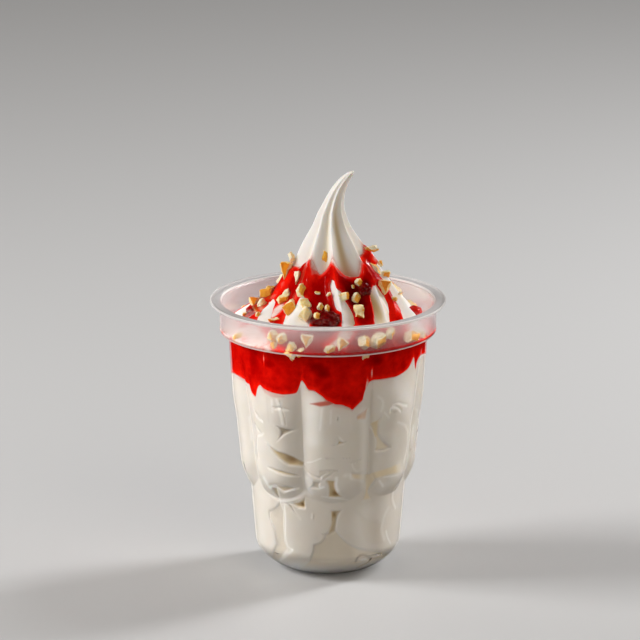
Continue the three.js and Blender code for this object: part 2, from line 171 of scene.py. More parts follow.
class Finish:
    """A material being built: add() makes a node and sets or links its inputs."""

    def __init__(self, name):
        self.material = bpy.data.materials.new(name)
        self.material.use_nodes = True
        self.tree = self.material.node_tree
        self.tree.nodes.clear()
        self.output = self.tree.nodes.new("ShaderNodeOutputMaterial")

    def put(self, socket, value):
        if isinstance(value, bpy.types.NodeSocket):
            self.tree.links.new(value, socket)
        else:
            socket.default_value = value

    def add(self, kind, settings=None, **inputs):
        made = self.tree.nodes.new("ShaderNode" + kind)
        for name, value in (settings or {}).items():
            setattr(made, name, value)
        for name, value in inputs.items():
            self.put(made.inputs[name.replace("_", " ")], value)
        return made

    def maths(self, operation, a, b, clamp=False):
        made = self.add("Math", {"operation": operation, "use_clamp": clamp})
        self.put(made.inputs[0], a)
        self.put(made.inputs[1], b)
        return made.outputs[0]

    def mix(self, share, a, b):
        made = self.add("Mix", {"data_type": "RGBA"}, Factor=share)
        self.put(made.inputs[MIX_A], a)
        self.put(made.inputs[MIX_B], b)
        return made.outputs[MIX_RESULT]

    def ramp(self, share, stops):
        made = self.add("ValToRGB", Fac=share)
        elements = made.color_ramp.elements
        while len(elements) < len(stops):
            elements.new(0.5)
        for element, (place, colour) in zip(elements, stops):
            element.position = place
            element.color = colour
        return made.outputs["Color"]

    def band(self, value, low, high, below=0.0, above=1.0):
        """One number below low, another above high, and smooth between them."""
        limits = {"From_Min": low, "From_Max": high, "To_Min": below, "To_Max": above}
        made = self.add("MapRange", {"interpolation_type": "SMOOTHSTEP"}, Value=value, **limits)
        return made.outputs["Result"]

    def attribute(self, name):
        """A number stored on the points of the mesh."""
        return self.add("Attribute", {"attribute_name": name}).outputs["Fac"]

    def place(self):
        return self.add("TexCoord").outputs["Object"]

    def noise(self, size, detail=2.0, rough=0.5):
        """Cloudy pattern, size in millimetres."""
        scale = 1 / (size * MM)
        clouds = self.add("TexNoise", Vector=self.place(), Scale=scale, Detail=detail, Roughness=rough)
        return clouds.outputs["Fac"]

    def bump(self, height, deep, **inputs):
        """Relief from a 0 to 1 height, deep in millimetres."""
        return self.add("Bump", Height=height, Strength=1.0, Distance=deep * MM, **inputs).outputs["Normal"]

    def mirror_off_wall(self, amount):
        """Mirror strength of what fills the cup: none where it presses on the wall, without air between."""
        return self.maths("MULTIPLY", self.maths("SUBTRACT", 1.0, self.attribute("pressed")), amount)

    def finish(self, shader):
        self.tree.links.new(shader.outputs[0], self.output.inputs["Surface"])
        print("finish:", self.material.name)
        return self.material


# %% [markdown]
# ## Floor
# The sundae stands on a table. A plain pale square is enough for that, because only the cup's soft shadow
# shows on it. It is hidden from glossy surfaces, so that the dark sauce stays clean.

# %% Floor
FLOOR_HALF = 6.0  # metres
floor_mesh = bpy.data.meshes.new("floor")
corners = [(-1, -1), (1, -1), (1, 1), (-1, 1)]
floor_mesh.from_pydata([(x * FLOOR_HALF, y * FLOOR_HALF, 0) for x, y in corners], [], [(0, 1, 2, 3)])
floor = bpy.data.objects.new("floor", floor_mesh)
bpy.context.scene.collection.objects.link(floor)
table_top = Finish("pale_floor")
pale = table_top.add("BsdfPrincipled", Base_Color=rgb(0.58, 0.58, 0.585), Roughness=0.55)
floor_mesh.materials.append(table_top.finish(pale))
floor.visible_glossy = False

# %% [markdown]
# ## The cup's shape
# The cup is one thin moulded wall. Its body swells into eight lobes that meet in creases, steps in to a
# plain lower part, and rounds under to a foot ring. Over a ledge stands a wider collar with a flange.
# It could be modelled by pushing the points of a cylinder about. Here the outside is a function of bearing
# and height instead, because everything in the cup presses against it and has to follow it exactly.

# %% Sizes of the cup
RIM_RADIUS = 46
RIM_HEIGHT = 107
FLANGE_THICK = 0.9
COLLAR_RADIUS = 42.2
LEDGE_HEIGHT = 94.7
COLLAR_ROUND = 0.8
WALL = 0.8
BAND_TOP_RADIUS = 38.9
BAND_FOOT_RADIUS = 37.2
BAND_FOOT = 67.3
LOBES_TOP = 63.6
LOBE_TOP_RADIUS = 36.3
LOBE_FOOT_RADIUS = 34.2
LOBES_FOOT = 43
STEP_FOOT = 33.3
LOWER_TOP_RADIUS = 30.3
CORNER_TOP = 12
CORNER_RADIUS = 28.5
CORNER_POWER = 1.3
CORNER_SIDE_POWERS = (1.5, 1.0)  # it starts more gently under the side than at the foot
FOOT_RADIUS = 15.5
FOOT_RECESS = 0.8
FOOT_RECESS_RADIUS = 12.5
STEP_SOFT = 3.5  # the step from the lobes out to the band is spread by this much each way
LOBES = 8
LOBE_ANGLE = 360 / LOBES
FIRST_CUSP = -16.9
CREASE_DEPTH = 2.2
CREASE_POWER = 2.9
CREASE_AT_LEDGE = 0.35  # the creases run on up the band, and are this deep at the ledge
LOBE_END_RISE = 5.5
print(f"the cup is {RIM_HEIGHT} mm tall and {2 * RIM_RADIUS} mm across its rim")


# %% Curves and angles
def lerp(a, b, share):
    return a + (b - a) * share


def ease(value, low, high):
    share = np.clip((value - low) / (high - low), 0, 1)
    return share * share * (3 - 2 * share)


def turn_between(a, b):
    """The angle from b to a, between -180 and 180 degrees."""
    return np.mod(a - b + 180, 360) - 180


def hill(x):
    """1 at 0, and away to 0 at 1."""
    return np.where(np.abs(x) < 1, np.cos(x * np.pi / 2) ** 2, 0)


def smooth_read(pairs, place):
    """Reads a list of (place, value) pairs along a smooth curve that never overshoots them."""
    x, y = np.array(pairs, float).T
    slope = np.diff(y) / np.diff(x)
    inner = np.where(slope[1:] * slope[:-1] > 0, 2 / (1 / (slope[1:] + 1e-9) + 1 / (slope[:-1] + 1e-9)), 0)
    tangent = np.concatenate([slope[:1], inner, slope[-1:]])
    k = np.clip(np.searchsorted(x, place) - 1, 0, len(x) - 2)
    wide = x[k + 1] - x[k]
    t = np.clip((place - x[k]) / wide, 0, 1)
    return (
        y[k] * (1 + 2 * t) * (1 - t) ** 2 + y[k + 1] * t * t * (3 - 2 * t)
        + wide * (tangent[k] * t * (1 - t) ** 2 + tangent[k + 1] * t * t * (t - 1))
    )


def polar(bearing, radius, height, middle=0.0):
    """Points at a bearing, radius and height round a middle to the right of the axis."""
    angle = np.radians(bearing)
    x, y, z = np.broadcast_arrays(middle + radius * np.sin(angle), -radius * np.cos(angle), height)
    return np.stack([x, y, z], axis=-1)


def bearing_of(x, y):
    return math.degrees(math.atan2(x, -y))


def flat_across(bearing, radius):
    """Distance round from the front, on a surface that is flattened out at a radius."""
    return np.radians(turn_between(bearing, 0)) * radius


# %% The wall as a function
def across_lobe(bearing):
    """0 on the crown of a lobe, 1 at a crease."""
    share = np.mod(bearing - FIRST_CUSP, LOBE_ANGLE) / LOBE_ANGLE
    return np.abs(2 * share - 1)


def end_rise(bearing):
    """A lobe's foot is an arch: this is how much higher it lies beside the crown."""
    return LOBE_END_RISE * across_lobe(bearing) ** 3


def body_radius(bearing, height):
    """Outside of the cup between its rounded bottom corner and the ledge."""
    lower = lerp(CORNER_RADIUS, LOWER_TOP_RADIUS, (height - CORNER_TOP) / (STEP_FOOT - CORNER_TOP))
    crown = lerp(LOBE_FOOT_RADIUS, LOBE_TOP_RADIUS, (height - LOBES_FOOT) / (LOBES_TOP - LOBES_FOOT))
    band = lerp(BAND_FOOT_RADIUS, BAND_TOP_RADIUS, (height - BAND_FOOT) / (LEDGE_HEIGHT - BAND_FOOT))
    cut = across_lobe(bearing) ** CREASE_POWER
    lobe = crown - CREASE_DEPTH * cut
    band = band - cut * lerp(CREASE_DEPTH, CREASE_AT_LEDGE, ease(height, LOBES_TOP, LEDGE_HEIGHT))
    share = np.clip((height - STEP_FOOT - end_rise(bearing)) / (LOBES_FOOT - STEP_FOOT), 0, 1)
    step = lerp(lower, lobe, np.sin(share * np.pi / 2))
    return lerp(step, band, ease(height, LOBES_TOP - STEP_SOFT, BAND_FOOT + STEP_SOFT))


def corner_point(share, foot_radius, foot_height, inset):
    """Radius and height on the rounded bottom corner: share 0 is the foot, 1 the side."""
    angle = share * math.pi / 2
    radius = lerp(foot_radius, CORNER_RADIUS - inset, math.sin(angle) ** CORNER_POWER)
    return radius, lerp(CORNER_TOP, foot_height, max(math.cos(angle), 0) ** lerp(*CORNER_SIDE_POWERS, share))


print(f"wall at the ledge: radius {float(body_radius(0, LEDGE_HEIGHT)):.1f} mm")

# %% [markdown]
# ## A skin over rows of points
# The cup, the soft serve and the sauce are all made the same way: rows of points, one above the other, are
# joined by quads all the way round, and closed by a point at each end or into a loop. Sculpting would be
# freer, but rows can be computed from the functions, so that neighbours fit each other exactly.

# %% Mesh helpers
def skin(rows, bottom=None, top=None, loop=False):
    """Points and faces of rows of points, closed by a point at each end or from the last row to the first."""
    rows = np.asarray(rows)
    count, columns = rows.shape[:2]
    number = np.arange(count * columns).reshape(count, columns)
    beside = np.roll(number, -1, axis=1)
    quads = np.stack([number[:-1], beside[:-1], beside[1:], number[1:]], axis=-1).reshape(-1, 4).tolist()
    points = rows.reshape(-1, 3).tolist()
    if loop:
        quads += np.stack([number[-1], beside[-1], beside[0], number[0]], axis=-1).tolist()
    if bottom is not None:
        points.append(list(bottom))
        quads += [(len(points) - 1, b, a) for a, b in zip(number[0].tolist(), beside[0].tolist())]
    if top is not None:
        points.append(list(top))
        quads += [(a, b, len(points) - 1) for a, b in zip(number[-1].tolist(), beside[-1].tolist())]
    return points, quads


def new_piece(name, points, faces, materials, sharp=None):
    """A smooth-shaded object at the origin from points in millimetres."""
    mesh = bpy.data.meshes.new(name)
    mesh.from_pydata((np.array(points) * MM).tolist(), [], faces)
    for material in materials:
        mesh.materials.append(material)
    mesh.shade_smooth()
    if sharp is not None:
        mesh.set_sharp_from_angle(angle=math.radians(sharp))
    mesh.validate()
    piece = bpy.data.objects.new(name, mesh)
    bpy.context.scene.collection.objects.link(piece)
    print(f"{name}: {len(mesh.vertices)} points, {sum(len(p.vertices) - 2 for p in mesh.polygons)} triangles")
    return piece


def give_attribute(piece, name, values):
    """Stores one number for each point of the mesh; the poles at the end get 0."""
    attributes = piece.data.attributes
    data = np.zeros(len(piece.data.vertices), np.float32)
    data[: values.size] = values.ravel()
    (attributes.get(name) or attributes.new(name, "FLOAT", "POINT")).data.foreach_set("value", data)


def read_attribute(piece, name):
    data = np.empty(len(piece.data.vertices), np.float32)
    piece.data.attributes[name].data.foreach_get("value", data)
    return data


# %% [markdown]
# ## Clear and frosted plastic
# The body of the cup is clear and glossy, the collar and flange have a fine matt texture. A thin sheet with
# a transparent shader would render faster, but shows no thickness. So both are refracting plastic with a
# real wall. Lamps would hardly reach what is inside through such a wall, so for shadow rays alone it is
# plain transparent.

# %% Plastic finishes
FROST_FADE = 12  # the collar is frosted from this far over the ledge, and clearer below
LAMP_SHARE = 0.93  # how much of the lamps' light the wall lets in


def plastic(name, tint, roughness, clear, clear_at_ledge=None, mirror=0.4, wave=0.01, wave_size=0.6):
    f = Finish(name)
    normal = f.bump(f.noise(wave_size, 1.0), wave)
    if clear_at_ledge:
        height = f.add("SeparateXYZ", Vector=f.place()).outputs["Z"]
        clear = f.band(height, LEDGE_HEIGHT * MM, (LEDGE_HEIGHT + FROST_FADE) * MM, clear_at_ledge, clear)
    shell = f.add(
        "BsdfPrincipled", Base_Color=tint, Roughness=roughness, IOR=1.47, Specular_IOR_Level=mirror,
        Transmission_Weight=clear, Normal=normal,
    )
    open_to_lamps = f.add("BsdfTransparent", Color=rgb(LAMP_SHARE, LAMP_SHARE, LAMP_SHARE))
    both = f.add("MixShader", Fac=f.add("LightPath").outputs["Is Shadow Ray"])
    f.put(both.inputs[1], shell.outputs[0])
    f.put(both.inputs[2], open_to_lamps.outputs[0])
    return f.finish(both)


clear_plastic = plastic("clear_plastic", rgb(0.99, 0.99, 0.99), 0.03, 1.0, mirror=0.3, wave=0.03, wave_size=9)
frosted_plastic = plastic("frosted_plastic", rgb(0.82, 0.80, 0.80), 0.27, 0.72, clear_at_ledge=0.97)
# The flange is a darker grey copy of the frosted plastic: painted shade.
flange_plastic_shaded = plastic("flange_plastic_shaded", rgb(0.62, 0.61, 0.61), 0.25, 0.5)
# Paler and more matt than the flange, for the flange's edges: a painted highlight.
plastic_edge_highlight = plastic("plastic_edge_highlight", rgb(0.90, 0.87, 0.86), 0.25, 0.4)
# Pale pink and mostly matt, for the lip at the foot of the collar: painted light, standing in for light
# carried along the plastic and reddened by the sauce.
plastic_lip_painted_light = plastic("plastic_lip_painted_light", rgb(0.97, 0.80, 0.80), 0.3, 0.3)

# %% Rows of the cup
CUP_COLUMNS = 384
CORNER_ROWS = 12
ROWS_BETWEEN = (7, 15, 7, 11, 7)  # in the lower part, the step, the lobes, their top and the band
wall_bearings = FIRST_CUSP + np.arange(CUP_COLUMNS) * 360 / CUP_COLUMNS


def shares(count):
    """Even shares of a stretch, up to its end but without its start."""
    return np.linspace(0, 1, count + 1)[1:]


def wall_ring(inset, height):
    return polar(wall_bearings, body_radius(wall_bearings, height) - inset, height)


def wall_rows(inset, foot_height):
    """Rows up the body's surface, an inset inside its outside, from the foot to just under the ledge."""
    foot_radius = FOOT_RADIUS - inset / 2
    corner = [corner_point(share, foot_radius, foot_height, inset) for share in shares(CORNER_ROWS)]
    rise = end_rise(wall_bearings)
    levels = (
        CORNER_TOP, STEP_FOOT + rise, LOBES_FOOT + rise, LOBES_TOP - STEP_SOFT, BAND_FOOT + STEP_SOFT,
        LEDGE_HEIGHT,
    )
    heights = [
        lerp(low, high, share)
        for low, high, count in zip(levels, levels[1:], ROWS_BETWEEN) for share in shares(count)
    ]
    return [polar(wall_bearings, *point) for point in corner] + [wall_ring(inset, h) for h in heights[:-1]]


def rings(radius, height, steps):
    """Round rows at steps outwards and upwards from a radius and height."""
    return [polar(wall_bearings, radius + out, height + up) for out, up in steps]


print(len(wall_rows(0, 0)), "rows up the wall,", CUP_COLUMNS, "points in each")

# %% The cup
def make_cup():
    floor_height = FOOT_RECESS + WALL
    under_flange = RIM_HEIGHT - FLANGE_THICK
    inner = COLLAR_RADIUS - WALL
    outside = [
        *rings(FOOT_RECESS_RADIUS, 0, [(0, FOOT_RECESS), (FOOT_RECESS, 0)]), *rings(FOOT_RADIUS, 0, [(0, 0)]),
        *wall_rows(0, 0), wall_ring(0, LEDGE_HEIGHT),
    ]
    ledge_lip = rings(COLLAR_RADIUS, LEDGE_HEIGHT, [(-0.35, 0), (-0.1, 0.1), (0, 0.35), (0, 0.6)])
    flange = [
        *rings(COLLAR_RADIUS, under_flange, [(0, -0.5), (0.5, 0)]),
        *rings(RIM_RADIUS, under_flange, [(-0.5, -0.1), (-0.1, 0.1)]),
        *rings(RIM_RADIUS, RIM_HEIGHT, [(0, -0.4), (-0.15, -0.08), (-0.5, 0), (-0.9, -0.12), (-1.5, -0.3)]),
        *rings(inner, RIM_HEIGHT, [(1.2, -0.22), (0.5, -0.2), (0.12, -0.4), (0, -0.8)]),
    ]
    at_ledge = polar(wall_bearings, body_radius(wall_bearings, LEDGE_HEIGHT) - WALL, LEDGE_HEIGHT + WALL)
    inside = [
        *rings(FOOT_RADIUS - WALL / 2, floor_height, [(0, 0)]), *wall_rows(WALL, floor_height), at_ledge,
        *rings(inner, LEDGE_HEIGHT + WALL, [(-0.3, 0), (0, 0.3)]),
    ]
    rows = [*outside, *ledge_lip, *flange, *inside[::-1]]
    points, faces = skin(rows, bottom=(0, 0, FOOT_RECESS), top=(0, 0, floor_height))
    finishes = [clear_plastic, frosted_plastic, flange_plastic_shaded, plastic_edge_highlight, plastic_lip_painted_light]
    made = new_piece("clear_cup", points, faces, finishes, sharp=11)
    lip = len(outside)
    collar = lip + len(ledge_lip)
    finish_of = np.zeros((len(rows) + 1, CUP_COLUMNS), np.int32)
    for start, end, finish in (
        (collar - 1, collar + len(flange) + 2, frosted_plastic),
        (collar + 1, collar + len(flange) - 1, flange_plastic_shaded),
        # the lip under the collar, with painted light
        (lip - 1, collar - 1, plastic_lip_painted_light),
        (collar + 2, collar + 6, plastic_edge_highlight),  # the outer edge of the flange, with a painted highlight
        (collar + 10, collar + 12, plastic_edge_highlight),  # its inner edge, with a painted highlight
    ):
        finish_of[start:end] = finishes.index(finish)
    made.data.polygons.foreach_set("material_index", finish_of.ravel()[: len(made.data.polygons)])
    return made


cup = make_cup()

# %% [markdown]
# ## Where soft serve touches the wall
# Soft serve is laid in the cup in thick ropes. Where a rope presses on the wall it is flat and pale. Where
# ropes meet they leave pockets of air with pointed ends and sides that bow inwards, and the surface in a
# pocket is painted darker and more yellow the deeper it lies, as painted shade. Pockets could be sculpted by
# hand or painted on. Here each one is an outline, and every point of the skin asks how far inside it lies, so
# that the edges stay sharp and the depth is real. On the front an outline is given by its corners in the
# camera's view, each with the bow of the side that follows it, and the wall is flattened out to measure it.

# %% Pockets of the front
# depth in millimetres, painted shade, yellowness as painted tan shade, and corners: across, down, bow of the
# side that follows
POCKETS = {
    "star": (0.35, 0.5, 0.2, [(274, 425, 0.06), (297, 430, 0.1), (276.5, 441, 0.3)]),
    "leaf": (0.8, 0.2, 0.5, [
        (265.5, 440.5, 0.12), (283, 453, -0.03), (304, 464, 0), (301, 467.5, 0), (288, 465.5, -0.08),
    ]),
    "thin_leaf": (0.5, 0.12, 0.4, [(267, 467, 0), (300, 476, -0.1)]),
    "pouch": (0.4, 0.1, 0.25, [(270, 485, -0.02), (298, 488.5, 0.03), (283, 492.5, 0.05)]),
    "pouch_fold": (0.6, 0.3, 0.3, [(271.5, 487, 0), (276, 487.5, 0), (279.5, 500, -0.03)]),
    "centre_star": (0.35, 0.3, 0.15, [
        (309, 479.5, 0.1), (323, 481.5, 0.3), (320, 489, 0.05), (309.5, 488, 0.5),
    ]),
    "well": (1.6, 0.1, 0.5, [(326, 480.5, 0), (337, 480.5, 0.24), (344, 497, -0.02), (328, 497.5, 0.08)]),
    "funnel": (1.0, 0.12, 0.36, [
        (330.5, 511, 0), (342.5, 510.5, 0.1), (337, 521, 0), (335.5, 532, 0), (327, 537, 0), (331.5, 523, 0),
    ]),
    "small_well": (0.7, 0.12, 0.95, [(337.5, 436, 0.2), (344.5, 443, 0), (336.5, 445.5, 0.2)]),
    "dot": (0.4, 0.6, 0.3, [(338.5, 416.5, 0), (339.3, 420, 0), (336.8, 421.5, 0)]),
    "pink_corner": (0.2, 0.16, 0.42, [(370, 408, 0), (367.5, 420, 0), (357.5, 420.5, 0), (357, 416.5, 0.05)]),
    "crescent": (0.4, 0.03, 0.17, [
        (383.5, 416.5, 0.25), (391.5, 447, -0.06), (376, 452, 0.12), (371, 424.5, 0.13),
    ]),
    "crescent_top": (0, 0.02, 0.34, [(372, 424, 0), (382.5, 419, 0.1), (381, 438, 0), (375.5, 438, 0)]),
    "branch": (0.06, 0.02, 0.24, [
        (351, 473, 0.03), (374, 473.5, 0), (377, 480, 0.05), (369, 491.5, 0), (372, 499, 0),
        (362, 501.5, 0.1), (365, 482, 0.03), (351, 479, 0),
    ]),
    "branch_arm": (0, -0.08, 0.24, [
        (370, 473.5, 0), (392, 466, 0), (401, 462, 0), (402, 472.5, 0.02), (374, 480, 0),
    ]),
    "brown_corner": (1.2, 0.12, 0.42, [(304.5, 498, 0), (305, 509, 0), (298, 508, 0), (290.5, 503.5, 0.1)]),
    "slit": (0.5, 0.34, 0.3, [(285, 503, 0), (291, 505.5, 0.05), (300, 519.5, 0)]),
    "left_hollow": (0.1, 0.24, 0.08, [
        (279, 502, 0), (283, 512, 0.02), (284, 541, 0), (287, 549.5, 0), (278, 562, 0), (271.5, 558.5, -0.05),
        (276, 545, 0.05), (269, 518, 0), (268, 510.5, 0.15),
    ]),
    "large_hollow": (0.3, 0.14, 0.12, [
        (331.5, 512, 0), (342, 511, 0.08), (335.5, 529, 0.1), (360, 549, 0), (392, 553, -0.1), (372, 566, 0),
        (330, 570, 0), (299, 567, 0.15), (313, 550, 0), (313, 545, 0.15), (325, 536.5, 0),
        (320.5, 532.5, 0.25), (331, 530, 0.05),
    ]),
    "right_hollow": (0, 0.07, 0.05, [(360, 511, 0.2), (384, 521, 0.18), (386, 543, -0.1), (366, 543, -0.06)]),
    "right_slit": (0, 0.12, 0.1, [(401, 483, 0), (392, 496, 0), (389, 501, -0.08)]),
    "upper_left": (0.15, 0.12, 0.06, [(271, 407, -0.1), (289, 411, 0.04), (274, 409.5, 0)]),
    "far_left": (0.3, 0.1, 0.08, [(243, 460, 0.04), (246, 470, 0.02)]),
}
# Narrow pits at the bottom of pockets, made deeper and painted browner as painted shade: across, down, radius
# in millimetres
PITS = [
    (290, 460, 3.4), (280, 472, 1.3), (336, 494, 2.6), (301.5, 505.5, 1.5), (334, 516, 1.7),
    (341.5, 442.5, 1),
]
print(len(POCKETS), "pockets and", len(PITS), "pits on the front")

# %% Folds of the front
# Folds and streaks of the pressed surface: depth, lightness as painted light and highlights (below 0 painted
# shade), half width in millimetres, and places along it
FOLDS = [
    (0.3, 0, 0.5, [(303, 466), (307, 472), (312, 476), (320, 478.5)]),
    (0.15, 0, 0.5, [(258, 475), (260, 482), (265, 489), (271, 495.5), (278, 500)]),
    (0, 0.7, 1.6, [(264, 478), (267, 484), (269, 487)]),
    (0.25, 0, 0.35, [(270, 484.5), (277, 484), (285, 486.5), (291, 488)]),
    (0, 0.9, 0.6, [(276, 486), (280, 489.5), (284, 492), (292, 489.5), (298, 488.5)]),
    (0, 0.7, 0.9, [(270, 487), (275, 485.5)]),
    (0, 0.6, 1.1, [(280, 501.5), (290, 500.5), (299, 497), (304, 493)]),
    (0.2, 0, 0.4, [(281, 503.5), (290, 503.5), (297, 502)]),
    (0, 0.8, 0.6, [(284, 506), (285.3, 520), (284.6, 535), (287, 547), (292, 550)]),
    (0, 0.7, 1.0, [(292, 550), (286, 556), (279, 560)]),
    (0, 0.8, 0.8, [(380, 481), (383.5, 486)]),
    (0, -0.12, 0.5, [(400, 480), (394, 486), (391, 492), (391, 503), (394, 509)]),
    (0, 0.6, 1.0, [(398, 484), (393.5, 491), (393, 500), (396, 508)]),
    (0, 0.35, 1.5, [(389, 508), (386, 513), (383.5, 520), (382, 530), (385, 539)]),
    (0, 0.9, 0.8, [(386.5, 531), (388, 538), (391, 543)]),
    (0, -0.12, 1.4, [(374, 392), (373.5, 430), (372, 474)]),
    (0, -0.25, 8.6, [(287, 398), (288, 435), (289, 476)]),
    (0, 0.6, 5, [(313, 402), (314, 440)]),
    (0, 0.6, 3, [(307, 480), (309, 492)]),
    (0, 0.5, 3, [(365, 412), (365, 440), (363.5, 486)]),
    (0, -0.15, 6, [(404, 430), (405, 452)]),
    (0, -0.13, 15, [(300, 512), (302, 545)]),
    (0, 0.45, 8, [(364, 514), (362, 530), (366, 552)]),
    (0.25, -0.35, 0.4, [(376, 450), (383, 450), (391, 447.5)]),
    (0, -0.7, 1.2, [(356, 561), (359, 556), (365, 554.5), (371, 558)]),
    (0, -0.8, 1.2, [(371, 558), (368, 562), (361, 565), (356, 569)]),
    (0, 0.6, 0.6, [(361, 560), (365, 558.5), (368, 559.5)]),
    (0, -0.1, 1.2, [(357, 511), (362, 517), (370, 521.5), (378, 521)]),
    (0.12, 0, 0.3, [(326, 458.5), (338, 459.5), (350, 459)]),
    (0.2, 0, 0.35, [(350, 464), (356, 462.5), (361, 460)]),
    (0, 0.5, 0.5, [(352, 464), (354, 470), (359, 472.5)]),
    (0.25, 0, 0.4, [(320, 472), (328, 471), (337, 471.5)]),
    (0.25, 0, 0.4, [(324, 479), (329, 476), (334, 472)]),
    (0.2, 0, 0.35, [(320, 477), (325, 473.5), (330, 472)]),
    (0, 0.8, 0.5, [(307, 463), (312, 462.5), (317, 460), (321, 458.5)]),
    (0, 0.9, 0.9, [(321, 488), (323.5, 487)]),
    (0, 0.9, 1.2, [(336.5, 478.5), (335.5, 485), (338, 491)]),
    (0, 0.4, 1.6, [(345, 476), (350, 475), (352, 478)]),
    (0, 0.9, 0.5, [(384, 477), (391, 476.5), (398, 475)]),
    (0.1, 0.9, 0.6, [(391.5, 412.5), (391.5, 408.5), (395.5, 406.5), (399.5, 408), (402, 411)]),
    (0.08, 0.9, 0.6, [(394, 405.5), (399, 402.5), (403.5, 404.5), (408, 405)]),
    (0, -0.3, 0.7, [(394.5, 412), (397.5, 411.5)]),
    (0, 0.4, 7, [(396, 384), (403, 392), (408, 402)]),
    (0, 0.25, 4, [(384, 488), (388, 483), (398, 478)]),
    (0, 0.5, 3, [(399, 466), (400, 472)]),
    (0, 0.6, 0.5, [(386, 413), (388, 415), (390, 418)]),
    (0, 0.4, 0.8, [(380, 397), (384, 400), (385, 405), (383, 412)]),
    (0, 1, 1.3, [(410, 456), (409, 462), (406.5, 468)]),
    (0, 0.7, 0.6, [(413, 450), (414, 438), (415, 425)]),
    (0, -0.4, 0.4, [(412.5, 449), (413, 453), (412, 456)]),
    (0, 0.8, 0.5, [(298, 567), (315, 570), (335, 571), (352, 569.5), (366, 565)]),
    (0, -1.6, 0.4, [(304, 570.5), (320, 573), (336, 573.5), (352, 572)]),
    (0, 0.7, 0.7, [(268, 557), (275, 562), (284, 567)]),
    (0, 0.6, 0.9, [(398, 422), (404, 424), (407.5, 428), (408.5, 438), (407, 450), (404, 462)]),
    (0, 0.5, 0.7, [(417, 405), (419, 412), (418, 420)]),
    (0, 0.5, 0.5, [(340, 437.5), (343, 441)]),
    (0.15, 0, 0.35, [(333, 446), (339, 445), (346, 442)]),
    (0, 0.55, 1.0, [(276, 400), (279, 410), (282, 424)]),
    (0.05, -0.1, 0.6, [(279, 402), (282, 412), (285, 425)]),
    (0, -0.06, 0.7, [(266, 398), (267, 410), (268, 422)]),
    (0, 0.4, 0.9, [(271, 400), (272, 412)]),
    (0, 0.45, 0.7, [(322, 409), (321, 420), (320, 430)]),
    (0, -0.06, 0.6, [(326, 410), (325.5, 420), (324, 430)]),
    (0, 0.35, 0.7, [(331, 411), (330.5, 424)]),
    (0, 0.08, 0.7, [(350, 411), (351, 422), (351, 430)]),
    (0.18, 0, 0.5, [(250, 402), (253, 412), (262, 421)]),
    (0, 0.5, 1.0, [(256, 417), (262, 421.5)]),
    (0.2, 0, 0.6, [(255, 424), (258, 431), (262, 435)]),
    (0, 0.6, 0.9, [(258, 436), (263, 433.5)]),
    (0.15, 0, 0.5, [(257, 436), (255.5, 446), (258, 458)]),
    (0, 0.6, 0.8, [(312, 514.5), (311.5, 518)]),
    (0.2, 0, 0.5, [(313.5, 515), (314, 518.5)]),
    (0, 0.35, 1.0, [(246, 405), (247, 420), (249, 440)]),
    (0, 0.8, 0.8, [(283, 565), (287, 568.5)]),
    (0, 0.5, 0.6, [(322, 496.5), (335, 498), (348, 500)]),
    (0.15, 0, 0.4, [(306, 497), (318, 502), (330, 503.5), (345, 503)]),
]
print(len(FOLDS), "folds on the front")

# %% The wall, flattened out
FLAT_RADIUS = 33  # the wall is flattened out at this radius
STEP_INWARDS = 0.02  # share of the way to the cup's axis
CORNER_POINTS = 60
TINY = 1e-12
FAR = 1e9


def tree_of(piece):
    """A search tree of a piece's faces, to cast rays on."""
    return BVHTree.FromObject(piece, bpy.context.evaluated_depsgraph_get())


def cast(tree, across, down, lift=0.0):
    """Where the sight line through a place in the view meets a piece, or the nearest place inwards."""
    hit = None
    while hit is None:
        hit = tree.ray_cast(*sight_line(across, down))[0]
        across, down = lerp(across, CUP_AXIS_ACROSS, STEP_INWARDS), down - lift
    return hit / MM


wall_tree = tree_of(frame["nodes"]["cup"])
corner_profile = np.array([corner_point(s, FOOT_RADIUS, 0, 0) for s in np.linspace(0, 1, CORNER_POINTS)])
corner_length = np.append(0, np.cumsum(np.hypot(*np.diff(corner_profile, axis=0).T)))
print(f"the rounded corner is {corner_length[-1]:.1f} mm long")


def along_wall(height):
    """Distance up the wall: the height, but measured along the surface in the rounded corner."""
    low = np.interp(height, corner_profile[:, 1], corner_length) - corner_length[-1] + CORNER_TOP
    return np.where(height < CORNER_TOP, low, height)


def wall_place(across, down):
    """Bearing and height of the place on the cup's wall that stands at a place in the view."""
    hit = cast(wall_tree, across, down, lift=0.5)
    return bearing_of(hit.x, hit.y), hit.z


def on_flat_wall(across, down):
    """A place in the view as a place on the flattened wall."""
    bearing, height = wall_place(across, down)
    return math.radians(bearing) * FLAT_RADIUS, float(along_wall(height))


# %% Outlines and lines
SIDE_POINTS = 6  # a bowed side is drawn as this many straight bits


def bowed_outline(corners):
    """The closed outline through corners, each side a curve that bows by its share of its length."""
    outline = []
    for (x0, y0, bow), (x1, y1, _) in zip(corners, corners[1:] + corners[:1]):
        for t in np.linspace(0, 1, SIDE_POINTS + 1)[:-1]:
            pull = 4 * bow * t * (1 - t)
            outline.append((lerp(x0, x1, t) - (y1 - y0) * pull, lerp(y0, y1, t) + (x1 - x0) * pull))
    return outline


def rounded_line(places):
    """A line through places with its corners cut off twice."""
    line = np.array(places, float)
    for _ in range(2):
        cuts = [lerp(a, b, share) for a, b in zip(line, line[1:]) for share in (0.25, 0.75)]
        line = np.array([line[0], *cuts, line[-1]])
    return line


